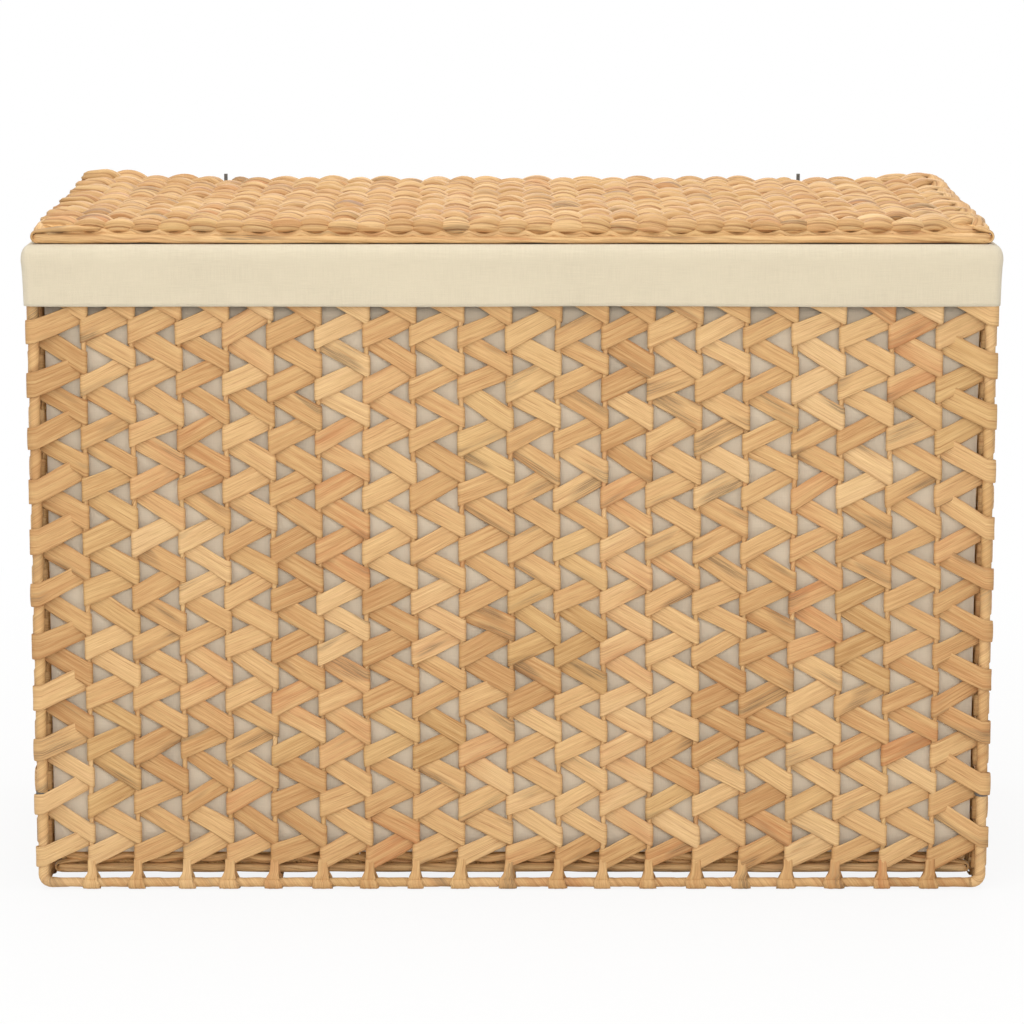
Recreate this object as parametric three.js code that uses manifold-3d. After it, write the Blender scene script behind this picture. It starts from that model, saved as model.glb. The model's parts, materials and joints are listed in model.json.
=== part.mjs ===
// Laundry sorter basket: four framed walls woven from flat leaf, a woven base board and a
// hinged woven lid, with a three-bay cloth liner whose cuff folds down over the rim.
// Millimetres, +Z up, front towards -Y, origin on the floor under the middle of the basket.

import * as THREE from "three";
import { mergeVertices } from "three/addons/utils/BufferGeometryUtils.js";
import Module from "manifold-3d";

const wasm = await Module();
wasm.setup();

// Overall size
const bodyWidth = 880; // over the leaf wraps, left to right
const bodyDepth = 450; // over the leaf wraps, front to back
const rimHeight = 599; // floor to the top of the cuff

// Wire and leaf
const rodDiameter = 8; // edge rod of every frame, with its leaf binding
const stakeDiameter = 4.5; // upright or cross wire inside a frame
const leafThickness = 2; // one layer of flat leaf
const bendRadius = 8; // centre line of a bent rod's corner
const clearance = 0.3; // between pieces that touch

// Walls
const frontColumns = 20; // columns of weave between the posts of a long wall
const sideColumns = 10; // the same on a short wall
const leafUnderRod = 2.5; // leaf between the bottom rod and the floor
const weaveFoot = 22; // floor to the lowest strips
const knotWidth = 19.5; // leaf fanned out over the bottom rod
const knotNeck = 8; // leaf on its way down to the rod
const knotFlareHeight = 4; // straight part of the fan
const knotNeckHeight = 16; // where the fan starts to open

// Cloth
const clothThickness = 1.7;
const cuffDrop = 56; // rim down to the hem of the cuff
const shoulderDrop = 12; // rim down to where the cuff starts to bend over it
const hemStandoff = 2.1; // hem's outer face from the leaf
const shoulderStandoff = 3.8; // cuff's fullest face from the leaf
const linerGap = 3; // between a wall and the liner
const linerCorner = 6; // corner radius of the liner inside the walls
const leastCorner = 0.5; // corner radius on the crest of the rim
const bayCount = 3;
const dividerDrop = 39; // rim down to the top of a divider

// Base board
const baseEndGap = 2.5; // between the board's ends and the short walls
const baseEdgeGap = 8; // between its strands and the long walls
const baseThickness = 16.2;
const baseStrand = 8.3; // thickness of the strand along its edge
const supportColumns = 5; // columns of weave from one support rod to the next
const supportCount = 3;

// Lid
const lidEndInset = 6.5; // lid's ends from the outer faces of the short walls
const lidEdgeInset = 4; // its front and back from those of the long walls
const lidThickness = 24;
const lidStrand = 11.5; // thickness of the strand along its front edge
const lidRows = 18; // rows of rope from the front strand to the hinge
const lidCrossings = 34; // crossings of a row, over and under by turns, from end to end
const boardWireCount = 9; // cross wires of the lid and of the base board
const edgeRodInset = 8; // side rod's centre line from a board's end

// Ties
const tieThickness = 1.4;
const tieWidth = 3.5;
const tieSlack = 0.6; // between a tie and the rods that it holds
const hingeTieStake = 6; // stake of the back wall next inside a hinge tie, from the middle
const hingeTieOffset = 28.6; // from that stake out to the tie
const hingeTailHeight = 6; // tail above the lid
const tieHeadSize = 4.5;
const cornerTieHeight = 90; // floor to the lower corner ties
const cornerTieDrop = 34; // rim down to the upper ones
const slotClearance = 1.2; // between a hinge tie and the leaf or cloth beside it

// Smoothness
const rodSides = 8;
const stakeSides = 6;
const bendSteps = 3;
const roundSteps = 4;
const tieSteps = 3;
const archSteps = 8;
const pointGap = 1e-4; // points closer than this are one

// Sizes that follow
const rodRadius = rodDiameter / 2;
const wallThickness = rodDiameter + 2 * leafThickness;
const wallRadius = wallThickness / 2;
const frontPlane = bodyDepth / 2 - wallRadius;
const sidePlane = bodyWidth / 2 - wallRadius;
const sideWallLength = bodyDepth - 2 * (wallThickness + clearance);
const frontPost = sidePlane;
const sidePost = sideWallLength / 2 - wallRadius;
const frontPitch = (2 * frontPost) / frontColumns;
const bottomRodHeight = leafUnderRod + rodRadius;
const topRodHeight = rimHeight - clothThickness - clearance - wallRadius;
const linerReach = -(wallRadius + linerGap);
const linerInside = linerReach - clothThickness;
const cuffHem = rimHeight - cuffDrop;
const cuffShoulder = rimHeight - shoulderDrop;
const hemReach = wallRadius + hemStandoff;
const shoulderReach = wallRadius + shoulderStandoff;
const dividerTop = rimHeight - dividerDrop;
const baseWidth = bodyWidth - 2 * (wallThickness + baseEndGap);
const baseDepth = bodyDepth - 2 * (wallThickness + baseEdgeGap);
const baseBottom = leafUnderRod + rodDiameter + clearance;
const linerFloor = baseBottom + baseThickness + clearance;
const lidWidth = bodyWidth - 2 * lidEndInset;
const lidDepth = bodyDepth - 2 * lidEdgeInset;
const lidRadius = lidThickness / 2;
const lidRowPitch = (lidDepth - lidRadius - lidStrand) / (lidRows - 1 / 2);
const rowGroove = rodRadius + leafThickness; // furrow between two rows, above the rods' plane
const rowDip = rowGroove + leafThickness / 2; // a row's top where it goes under
const hingeHeight = rimHeight + clearance + lidRadius;
const hingePlace = lidDepth / 2 - lidRadius;
const tieInner = rodRadius + tieSlack;
const tieOuter = tieInner + tieThickness;
const hingeTailTop = hingeHeight + lidRadius + hingeTailHeight;
const hingeSlot = Math.max(tieWidth, tieHeadSize) + 2 * slotClearance;
const hingeTieReach = hingeTieStake * frontPitch + hingeTieOffset;
const cornerTieLow = cornerTieHeight;
const cornerTieHigh = rimHeight - cornerTieDrop;

// Solids

function solid(geometry) {
  const bare = geometry.clone();
  bare.deleteAttribute("normal");
  bare.deleteAttribute("uv");
  const merged = mergeVertices(bare, pointGap);
  return new wasm.Manifold(
    new wasm.Mesh({
      numProp: 3,
      vertProperties: merged.attributes.position.array,
      triVerts: new Uint32Array(merged.index.array),
    }),
  );
}

function geometryOf(body) {
  const mesh = body.getMesh();
  const geometry = new THREE.BufferGeometry();
  geometry.setAttribute("position", new THREE.BufferAttribute(mesh.vertProperties, mesh.numProp));
  geometry.setIndex(new THREE.BufferAttribute(mesh.triVerts, 1));
  geometry.computeVertexNormals();
  return geometry;
}

function joined(bodies) {
  return bodies.reduce((whole, body) => whole.add(body));
}

function cutBy(body, tools) {
  return tools.reduce((rest, tool) => rest.subtract(tool), body);
}

// Triangles of a cap that is seen whole from its first point.
function fanCap(ring) {
  return Array.from({ length: ring.length - 2 }, (_, k) => [0, k + 1, k + 2]);
}

// Triangles of a cap that lies across X, whatever its outline.
function sectionCap(ring) {
  return THREE.ShapeUtils.triangulateShape(
    ring.map((point) => new THREE.Vector2(point.y, point.z)),
    [],
  );
}

// Rings of equal count joined one to the next, and the last to the first or capped.
function loft(rings, closed = false, cap = fanCap) {
  const count = rings[0].length;
  const places = rings.flat().flatMap((point) => point.toArray());
  const faces = [];
  const steps = closed ? rings.length : rings.length - 1;
  for (let step = 0; step < steps; step++) {
    const low = step * count;
    const high = ((step + 1) % rings.length) * count;
    for (let k = 0; k < count; k++) {
      const next = (k + 1) % count;
      faces.push(low + k, low + next, high + next);
      faces.push(low + k, high + next, high + k);
    }
  }
  if (!closed) {
    const top = (rings.length - 1) * count;
    for (const [a, b, c] of cap(rings[0])) {
      faces.push(a, c, b);
      faces.push(top + a, top + b, top + c);
    }
  }
  const geometry = new THREE.BufferGeometry();
  geometry.setAttribute("position", new THREE.Float32BufferAttribute(places, 3));
  geometry.setIndex(faces);
  return solid(geometry);
}

function box(low, high) {
  const size = new THREE.Vector3().subVectors(high, low);
  const middle = new THREE.Vector3().addVectors(low, high).multiplyScalar(0.5);
  const geometry = new THREE.BoxGeometry(size.x, size.y, size.z);
  geometry.translate(middle.x, middle.y, middle.z);
  return solid(geometry);
}

// Square channel that a rod of this radius lies in with its clearance.
function channel(from, to, radius) {
  const room = new THREE.Vector3(1, 1, 1).multiplyScalar(radius + clearance);
  const low = from.clone().min(to).sub(room);
  const high = from.clone().max(to).add(room);
  return box(low, high);
}

// Room at the corner where a frame's rod bends away from the crossing of its channels.
function bendRoom(corner, inward) {
  const room = new THREE.Vector3(
    inward.x === 0 ? rodRadius + clearance : 0,
    inward.y === 0 ? rodRadius + clearance : 0,
    inward.z === 0 ? rodRadius + clearance : 0,
  );
  const near = corner.clone().addScaledVector(inward, -2 * clearance);
  const far = corner.clone().addScaledVector(inward, bendRadius);
  const low = near.clone().min(far).sub(room);
  const high = near.clone().max(far).add(room);
  return box(low, high);
}

function straightRod(from, to, radius, sides) {
  const along = new THREE.Vector3().subVectors(to, from);
  const geometry = new THREE.CylinderGeometry(radius, radius, along.length(), sides);
  const turn = new THREE.Quaternion().setFromUnitVectors(
    new THREE.Vector3(0, 1, 0),
    along.normalize(),
  );
  geometry.applyQuaternion(turn);
  const middle = new THREE.Vector3().addVectors(from, to).multiplyScalar(0.5);
  geometry.translate(middle.x, middle.y, middle.z);
  return solid(geometry);
}

// A closed rod whose centre line lies in the plane that has this normal.
function bentLoop(points, radius, normal) {
  const rings = points.map((point, i) => {
    const before = points[(i + points.length - 1) % points.length];
    const after = points[(i + 1) % points.length];
    const arriving = new THREE.Vector3().subVectors(point, before).normalize();
    const leaving = new THREE.Vector3().subVectors(after, point).normalize();
    const along = new THREE.Vector3().addVectors(arriving, leaving).normalize();
    const across = new THREE.Vector3().crossVectors(normal, along);
    const stretch = radius / along.dot(leaving);
    return Array.from({ length: rodSides }, (_, k) => {
      const angle = (2 * Math.PI * k) / rodSides;
      return point
        .clone()
        .addScaledVector(across, Math.cos(angle) * stretch)
        .addScaledVector(normal, Math.sin(angle) * radius);
    });
  });
  return loft(rings, true);
}

// Corner points of a rectangle with round corners, counter-clockwise.
function roundedRectangle(left, right, low, high, radius, steps) {
  const corners = [
    [right - radius, low + radius, -Math.PI / 2],
    [right - radius, high - radius, 0],
    [left + radius, high - radius, Math.PI / 2],
    [left + radius, low + radius, Math.PI],
  ];
  return corners.flatMap(([x, y, start]) =>
    Array.from({ length: steps + 1 }, (_, k) => {
      const angle = start + (Math.PI / 2) * (k / steps);
      return new THREE.Vector2(x + radius * Math.cos(angle), y + radius * Math.sin(angle));
    }),
  );
}

// A profile drawn in the YZ plane, run along X about the middle.
function alongX(profile, length, steps) {
  const geometry = new THREE.ExtrudeGeometry(profile, {
    depth: length,
    bevelEnabled: false,
    curveSegments: steps,
  });
  const turn = new THREE.Matrix4().makeBasis(
    new THREE.Vector3(0, 1, 0),
    new THREE.Vector3(0, 0, 1),
    new THREE.Vector3(1, 0, 0),
  );
  geometry.applyMatrix4(turn);
  geometry.translate(-length / 2, 0, 0);
  return solid(geometry);
}

// A profile drawn in the XZ plane, run along Y about the middle.
function alongY(profile, length) {
  const geometry = new THREE.ExtrudeGeometry(profile, { depth: length, bevelEnabled: false });
  geometry.rotateX(Math.PI / 2);
  geometry.translate(0, length / 2, 0);
  return solid(geometry);
}

// Outline of a loop drawn tight round two rods of one radius.
function beltOutline(first, second, radius, Kind) {
  const slope = Math.atan2(second.y - first.y, second.x - first.x);
  const quarter = Math.PI / 2;
  const outline = new Kind();
  outline.absarc(first.x, first.y, radius, slope + quarter, slope + 3 * quarter, false);
  outline.absarc(second.x, second.y, radius, slope - quarter, slope + quarter, false);
  outline.closePath();
  return outline;
}

function belt(first, second) {
  const outline = beltOutline(first, second, tieOuter, THREE.Shape);
  outline.holes.push(beltOutline(first, second, tieInner, THREE.Path));
  return outline;
}

// Walls: each is drawn along X with its outer face towards -Y

// Where the upright wires of a wall stand.
function stakePlaces(post, columns) {
  const pitch = (2 * post) / columns;
  return Array.from({ length: columns - 1 }, (_, k) => -post + (k + 1) * pitch);
}

function wallFrame(post, columns) {
  const outline = roundedRectangle(
    -post,
    post,
    bottomRodHeight,
    topRodHeight,
    bendRadius,
    bendSteps,
  );
  const route = outline.map((point) => new THREE.Vector3(point.x, 0, point.y));
  const loop = bentLoop(route, rodRadius, new THREE.Vector3(0, -1, 0));
  const stakes = stakePlaces(post, columns).map((place) =>
    straightRod(
      new THREE.Vector3(place, 0, bottomRodHeight),
      new THREE.Vector3(place, 0, topRodHeight),
      stakeDiameter / 2,
      stakeSides,
    ),
  );
  return joined([loop, ...stakes]);
}

// Room in the leaf for a wall's frame.
function wallChannels(post, columns) {
  const roomyRadius = rodRadius + clearance / Math.cos(Math.PI / rodSides);
  const round = (from, to) => straightRod(from, to, roomyRadius, rodSides);
  const foot = (place) => new THREE.Vector3(place, 0, bottomRodHeight);
  const head = (place) => new THREE.Vector3(place, 0, topRodHeight);
  const bends = [1, -1].map((end) => bendRoom(head(end * post), new THREE.Vector3(-end, 0, -1)));
  const stakes = stakePlaces(post, columns).map((place) =>
    channel(foot(place), head(place), stakeDiameter / 2),
  );
  return joined([
    round(foot(-post), head(-post)),
    round(foot(post), head(post)),
    round(head(-post), head(post)),
    channel(foot(-post), foot(post), rodRadius),
    ...bends,
    ...stakes,
  ]);
}

// Leaf panel with round ends and a round top, wound about the posts and the top rod.
function leafPanel(post) {
  const ring = (radius, height) => {
    const points = [];
    for (const end of [1, -1]) {
      for (let k = 0; k <= roundSteps; k++) {
        const angle = (Math.PI * k) / roundSteps - Math.PI / 2;
        const x = end * (post + radius * Math.cos(angle));
        points.push(new THREE.Vector3(x, end * radius * Math.sin(angle), height));
      }
    }
    return points;
  };
  const rings = [ring(wallRadius, weaveFoot)];
  for (let k = 0; k < roundSteps; k++) {
    const angle = (Math.PI / 2) * (k / roundSteps);
    const height = topRodHeight + wallRadius * Math.sin(angle);
    rings.push(ring(wallRadius * Math.cos(angle), height));
  }
  return loft(rings);
}

function knot(place) {
  const profile = new THREE.Shape();
  const half = knotWidth / 2;
  const neck = knotNeck / 2;
  profile.moveTo(-half, 0);
  profile.lineTo(half, 0);
  profile.lineTo(half, knotFlareHeight);
  profile.lineTo(neck, knotNeckHeight);
  profile.lineTo(neck, weaveFoot + leafThickness);
  profile.lineTo(-neck, weaveFoot + leafThickness);
  profile.lineTo(-neck, knotNeckHeight);
  profile.lineTo(-half, knotFlareHeight);
  profile.closePath();
  return alongY(profile, wallThickness).translate([place, 0, 0]);
}

// Slit at a wall's end that leaves a corner tie free.
function cornerSlit(post, height) {
  const inner = post - tieOuter - clearance;
  const half = tieWidth / 2 + clearance;
  return [1, -1].map((end) =>
    box(
      new THREE.Vector3(Math.min(end * inner, end * bodyWidth), -wallThickness, height - half),
      new THREE.Vector3(Math.max(end * inner, end * bodyWidth), wallThickness, height + half),
    ),
  );
}

function wallWeave(post, columns, extraCuts) {
  const knots = stakePlaces(post, columns).map(knot);
  return cutBy(joined([leafPanel(post), ...knots]), [
    wallChannels(post, columns),
    ...cornerSlit(post, cornerTieLow),
    ...cornerSlit(post, cornerTieHigh),
    ...extraCuts,
  ]);
}

// Room for the support rods in the knots that they meet.
function supportHoles() {
  return supportPlaces().map((place) =>
    channel(
      new THREE.Vector3(place, 0, bottomRodHeight),
      new THREE.Vector3(place, wallThickness, bottomRodHeight),
      rodRadius,
    ),
  );
}

// Notches of the back wall and of the cuff where a hinge tie goes round the top rod.
function hingeNotches(low, reach) {
  return [1, -1].map((side) => {
    const place = side * hingeTieReach;
    return box(
      new THREE.Vector3(place - hingeSlot / 2, -reach, low),
      new THREE.Vector3(place + hingeSlot / 2, reach, rimHeight + lidThickness),
    );
  });
}

function supportPlaces() {
  const middle = (supportCount - 1) / 2;
  return Array.from(
    { length: supportCount },
    (_, k) => (k - middle) * supportColumns * frontPitch,
  );
}

// Boards: lid and base

function boardFrame(width, front, rear) {
  const half = width / 2 - edgeRodInset;
  const outline = roundedRectangle(-half, half, front, rear, bendRadius, bendSteps);
  const route = outline.map((point) => new THREE.Vector3(point.x, point.y, 0));
  const loop = bentLoop(route, rodRadius, new THREE.Vector3(0, 0, 1));
  const wires = stakePlaces(half, boardWireCount + 1).map((place) =>
    straightRod(
      new THREE.Vector3(place, front, 0),
      new THREE.Vector3(place, rear, 0),
      stakeDiameter / 2,
      stakeSides,
    ),
  );
  return joined([loop, ...wires]);
}

// Channels in a board's weave for its frame.
function boardChannels(width, front, rear) {
  const half = width / 2 - edgeRodInset;
  const corner = (end, place) => new THREE.Vector3(end * half, place, 0);
  const bends = [1, -1].flatMap((end) => [
    bendRoom(corner(end, front), new THREE.Vector3(-end, 1, 0)),
    bendRoom(corner(end, rear), new THREE.Vector3(-end, -1, 0)),
  ]);
  return joined([
    ...bends,
    channel(corner(-1, front), corner(1, front), rodRadius),
    channel(corner(-1, rear), corner(1, rear), rodRadius),
    channel(corner(-1, front), corner(-1, rear), rodRadius),
    channel(corner(1, front), corner(1, rear), rodRadius),
    ...stakePlaces(half, boardWireCount + 1).map((place) =>
      channel(
        new THREE.Vector3(place, front, 0),
        new THREE.Vector3(place, rear, 0),
        stakeDiameter / 2,
      ),
    ),
  ]);
}

// Gaps at a board's corners, where its rows turn back and the bend of the rod shows.
function cornerGaps(width, front, rear) {
  const bare = bendRadius * (1 - Math.SQRT1_2);
  const inner = width / 2 - edgeRodInset - bare;
  const gaps = [];
  for (const side of [1, -1]) {
    for (const [edge, end] of [[front, -1], [rear, 1]]) {
      const start = edge - end * bare;
      gaps.push(
        box(
          new THREE.Vector3(
            Math.min(side * inner, side * width),
            Math.min(start, start + end * baseDepth),
            -lidThickness,
          ),
          new THREE.Vector3(
            Math.max(side * inner, side * width),
            Math.max(start, start + end * baseDepth),
            lidThickness,
          ),
        ),
      );
    }
  }
  return gaps;
}

function strand(length, thickness) {
  const half = length / 2;
  return straightRod(
    new THREE.Vector3(-half, 0, 0),
    new THREE.Vector3(half, 0, 0),
    thickness / 2,
    rodSides,
  );
}

const lidFront = lidRadius - lidDepth; // front edge from the hinge axis
const lidFrontRod = lidFront + lidStrand + leafThickness + rodRadius;

// Top of a lid row at one of its crossings.
function rowTop(row, crossing) {
  const over = (row + crossing + lidCrossings / 2) % 2 === 0;
  return over ? lidRadius : rowDip;
}

// The lid's weave cut across at a crossing: stepped over the front strand, ridged by the
// rows and round about the hinge rod.
function lidSection(crossing) {
  const x = (crossing / lidCrossings - 1 / 2) * lidWidth;
  const step = lidFront + lidStrand + clearance;
  const ledge = lidStrand + clearance - lidRadius;
  const points = [];
  const add = (y, z) => points.push(new THREE.Vector3(x, y, z));
  add(step, ledge);
  add(step, -lidRadius);
  for (let k = 0; k < roundSteps; k++) {
    const angle = Math.PI * (k / roundSteps - 1 / 2);
    const height = angle > 0 ? rowTop(lidRows - 1, crossing) : lidRadius;
    add(lidRadius * Math.cos(angle), height * Math.sin(angle));
  }
  for (let row = lidRows - 1; row >= 0; row--) {
    const place = (row + 1 - lidRows) * lidRowPitch;
    add(place, rowTop(row, crossing));
    add(place - lidRowPitch / 2, rowGroove);
  }
  add(lidFront, ledge + leafThickness);
  add(lidFront, ledge);
  return points;
}

function lidWeave() {
  const sections = Array.from({ length: lidCrossings + 1 }, (_, k) => lidSection(k));
  const slotDepth = hingeTailTop - hingeHeight + slotClearance;
  const slots = [1, -1].map((side) => {
    const place = side * hingeTieReach;
    return box(
      new THREE.Vector3(place - hingeSlot / 2, -slotDepth, -lidThickness),
      new THREE.Vector3(place + hingeSlot / 2, lidThickness, lidThickness),
    );
  });
  return cutBy(loft(sections, false, sectionCap), [
    boardChannels(lidWidth, lidFrontRod, 0),
    ...cornerGaps(lidWidth, lidFrontRod, 0),
    ...slots,
  ]);
}

const baseFrontRod = -(baseDepth / 2 - baseStrand - leafThickness - rodRadius);

// Base weave: stepped over the strands along its front and back.
function baseWeave() {
  const profile = new THREE.Shape();
  const edge = baseDepth / 2;
  const step = edge - baseStrand - clearance;
  const half = baseThickness / 2;
  const ledge = baseStrand + clearance - half;
  profile.moveTo(-step, -half);
  profile.lineTo(step, -half);
  profile.lineTo(step, ledge);
  profile.lineTo(edge, ledge);
  profile.lineTo(edge, half);
  profile.lineTo(-edge, half);
  profile.lineTo(-edge, ledge);
  profile.lineTo(-step, ledge);
  profile.closePath();
  return cutBy(alongX(profile, baseWidth, roundSteps), [
    boardChannels(baseWidth, baseFrontRod, -baseFrontRod),
    ...cornerGaps(baseWidth, baseFrontRod, -baseFrontRod),
  ]);
}

// Liner

// Ring round the basket at this reach outside the middle of the walls: its corners turn
// about the posts, and inside the walls they are no rounder than the liner's.
function rimRing(reach, height) {
  const radius = reach > 0 ? reach : Math.min(-reach, linerCorner);
  const outline = roundedRectangle(
    -sidePlane - reach,
    sidePlane + reach,
    -frontPlane - reach,
    frontPlane + reach,
    Math.max(radius, leastCorner),
    bendSteps,
  );
  return outline.map((point) => new THREE.Vector3(point.x, point.y, height));
}

// Flat panel between two heights: along X, or along Y where it closes an end.
function linerPanel(width, depth, low, high, x, y) {
  return box(
    new THREE.Vector3(x - width / 2, y - depth / 2, low),
    new THREE.Vector3(x + width / 2, y + depth / 2, high),
  );
}

// The liner's floor, long sides and ends, up to the cuff.
function linerPanels() {
  const width = 2 * (sidePlane + linerReach);
  const depth = 2 * (frontPlane + linerReach);
  const endDepth = depth - 2 * (clothThickness + clearance);
  const floorTop = linerFloor + clothThickness;
  const foot = floorTop + clearance;
  const top = cuffHem - clearance;
  const sideY = (depth - clothThickness) / 2;
  const endX = (width - clothThickness) / 2;
  return [
    ["floor", linerPanel(width, depth, linerFloor, floorTop, 0, 0)],
    ["front", linerPanel(width, clothThickness, foot, top, 0, -sideY)],
    ["back", linerPanel(width, clothThickness, foot, top, 0, sideY)],
    ["left", linerPanel(clothThickness, endDepth, foot, top, -endX, 0)],
    ["right", linerPanel(clothThickness, endDepth, foot, top, endX, 0)],
  ];
}

// Cuff's section from its hem over the rim to the top of the tub, this deep in the cloth.
function cuffLine(depth) {
  const line = [[hemReach - depth, cuffHem]];
  for (let k = 0; k <= archSteps; k++) {
    const angle = (Math.PI * k) / archSteps;
    line.push([
      (shoulderReach - depth) * Math.cos(angle),
      cuffShoulder + (rimHeight - cuffShoulder - depth) * Math.sin(angle),
    ]);
  }
  line.push([linerInside + depth, cuffHem]);
  return line;
}

function linerCuff() {
  const section = [...cuffLine(0), ...cuffLine(clothThickness).reverse()];
  const whole = loft(
    section.map(([reach, height]) => rimRing(reach, height)),
    true,
  );
  const low = topRodHeight - tieOuter - slotClearance;
  const notches = hingeNotches(low, wallThickness).map((notch) =>
    notch.translate([0, frontPlane, 0]),
  );
  return cutBy(whole, notches);
}

// One side of the cuff, with mitred ends over the posts at either end of its wall.
function cuffSide(whole, post, distance, turn) {
  const spread = 2 * wallThickness;
  const gap = clearance * Math.SQRT1_2;
  const outline = new THREE.Shape();
  outline.moveTo(gap - post - spread, -distance - spread);
  outline.lineTo(post + spread - gap, -distance - spread);
  outline.lineTo(post - spread - gap, spread - distance);
  outline.lineTo(gap + spread - post, spread - distance);
  outline.closePath();
  const geometry = new THREE.ExtrudeGeometry(outline, {
    depth: 2 * rimHeight,
    bevelEnabled: false,
  });
  geometry.rotateZ(turn);
  return whole.intersect(solid(geometry));
}

function divider() {
  const half = frontPlane + linerInside - clearance;
  const low = linerFloor + clothThickness + clearance;
  return box(
    new THREE.Vector3(-clothThickness / 2, -half, low),
    new THREE.Vector3(clothThickness / 2, half, dividerTop),
  );
}

// Ties

function cornerTie() {
  const first = new THREE.Vector2(0, 0);
  const second = new THREE.Vector2(0, frontPlane - sidePost);
  const geometry = new THREE.ExtrudeGeometry(belt(first, second), {
    depth: tieWidth,
    bevelEnabled: false,
    curveSegments: tieSteps,
  });
  geometry.translate(0, 0, -tieWidth / 2);
  return solid(geometry);
}

function hingeTie() {
  const lidRod = new THREE.Vector2(hingePlace, hingeHeight);
  const topRod = new THREE.Vector2(frontPlane, topRodHeight);
  const loop = alongX(belt(lidRod, topRod), tieWidth, tieSteps);
  const headLow = hingeHeight + tieInner + tieThickness / 2;
  const half = tieHeadSize / 2;
  const head = box(
    new THREE.Vector3(-half, hingePlace - half, headLow),
    new THREE.Vector3(half, hingePlace + half, headLow + tieHeadSize),
  );
  const tail = box(
    new THREE.Vector3(-tieWidth / 2, hingePlace - tieThickness / 2, headLow),
    new THREE.Vector3(tieWidth / 2, hingePlace + tieThickness / 2, hingeTailTop),
  );
  return joined([loop, head, tail]);
}

// Materials

function leafMaterial(color) {
  return new THREE.MeshStandardMaterial({ color, roughness: 0.7, metalness: 0 });
}

function clothMaterial() {
  return new THREE.MeshStandardMaterial({ color: 0xe5d8bd, roughness: 0.9, metalness: 0 });
}

function tieMaterial() {
  return new THREE.MeshStandardMaterial({ color: 0x4a4a48, roughness: 0.5, metalness: 0 });
}

const boundLeaf = leafMaterial(0xd9ae72);
const flatLeaf = leafMaterial(0xdeb477);
const ropeLeaf = leafMaterial(0xd3a466);
const cloth = clothMaterial();
const tie = tieMaterial();

// Assembly

const basket = new THREE.Group();

function addPiece(group, name, body, material) {
  const mesh = new THREE.Mesh(geometryOf(body), material);
  mesh.name = name;
  group.add(mesh);
  return mesh;
}

// One wall: a wire frame with its weave, turned to face its own side.
function addWall(side, post, columns, distance, turn, extraCuts) {
  const wall = new THREE.Group();
  addPiece(wall, side + "_frame", wallFrame(post, columns), boundLeaf);
  addPiece(wall, side + "_weave", wallWeave(post, columns, extraCuts), flatLeaf);
  wall.rotation.z = turn;
  wall.position.set(distance * Math.sin(turn), -distance * Math.cos(turn), 0);
  basket.add(wall);
}

function addWalls() {
  const tieNotchLow = topRodHeight - tieOuter - slotClearance;
  const backCuts = [...supportHoles(), ...hingeNotches(tieNotchLow, wallThickness)];
  addWall("front", frontPost, frontColumns, frontPlane, 0, supportHoles());
  addWall("back", frontPost, frontColumns, frontPlane, Math.PI, backCuts);
  addWall("left", sidePost, sideColumns, sidePlane, -Math.PI / 2, []);
  addWall("right", sidePost, sideColumns, sidePlane, Math.PI / 2, []);
}

function addCornerTies() {
  for (const [end, y] of [["front", -1], ["back", 1]]) {
    for (const [side, x] of [["left", -1], ["right", 1]]) {
      for (const [level, height] of [["lower", cornerTieLow], ["upper", cornerTieHigh]]) {
        const name = ["corner_tie", end, side, level].join("_");
        const mesh = addPiece(basket, name, cornerTie(), tie);
        mesh.rotation.z = y > 0 ? Math.PI : 0;
        mesh.position.set(x * sidePlane, y * frontPlane, height);
      }
    }
  }
}

function addSupportRods() {
  const half = frontPlane - rodRadius - clearance;
  supportPlaces().forEach((place, k) => {
    const rod = straightRod(
      new THREE.Vector3(0, -half, 0),
      new THREE.Vector3(0, half, 0),
      rodRadius,
      rodSides,
    );
    const mesh = addPiece(basket, "support_rod_" + (k + 1), rod, boundLeaf);
    mesh.position.set(place, 0, bottomRodHeight);
  });
}

function addBase() {
  const base = new THREE.Group();
  const frame = boardFrame(baseWidth, baseFrontRod, -baseFrontRod);
  addPiece(base, "base_frame", frame, boundLeaf);
  addPiece(base, "base_weave", baseWeave(), ropeLeaf);
  for (const [end, side] of [["front", -1], ["back", 1]]) {
    const edge = addPiece(base, "base_" + end + "_strand", strand(baseWidth, baseStrand), ropeLeaf);
    edge.position.set(
      0,
      (side * (baseDepth - baseStrand)) / 2,
      (baseStrand - baseThickness) / 2,
    );
  }
  base.position.z = baseBottom + baseThickness / 2;
  basket.add(base);
}

function addLiner() {
  for (const [side, panel] of linerPanels()) {
    addPiece(basket, "liner_" + side, panel, cloth);
  }
  const cuff = linerCuff();
  for (const [side, post, distance, turn] of [
    ["front", sidePlane, frontPlane, 0],
    ["back", sidePlane, frontPlane, Math.PI],
    ["left", frontPlane, sidePlane, -Math.PI / 2],
    ["right", frontPlane, sidePlane, Math.PI / 2],
  ]) {
    addPiece(basket, "cuff_" + side, cuffSide(cuff, post, distance, turn), cloth);
  }
  const bay = (2 * (sidePlane + linerInside)) / bayCount;
  for (let wall = 1; wall < bayCount; wall++) {
    const mesh = addPiece(basket, "liner_divider_" + wall, divider(), cloth);
    mesh.position.x = (wall - bayCount / 2) * bay;
  }
}

function addHingeTies() {
  for (const [side, x] of [["left", -1], ["right", 1]]) {
    const mesh = addPiece(basket, "hinge_tie_" + side, hingeTie(), tie);
    mesh.position.x = x * hingeTieReach;
  }
}

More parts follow.
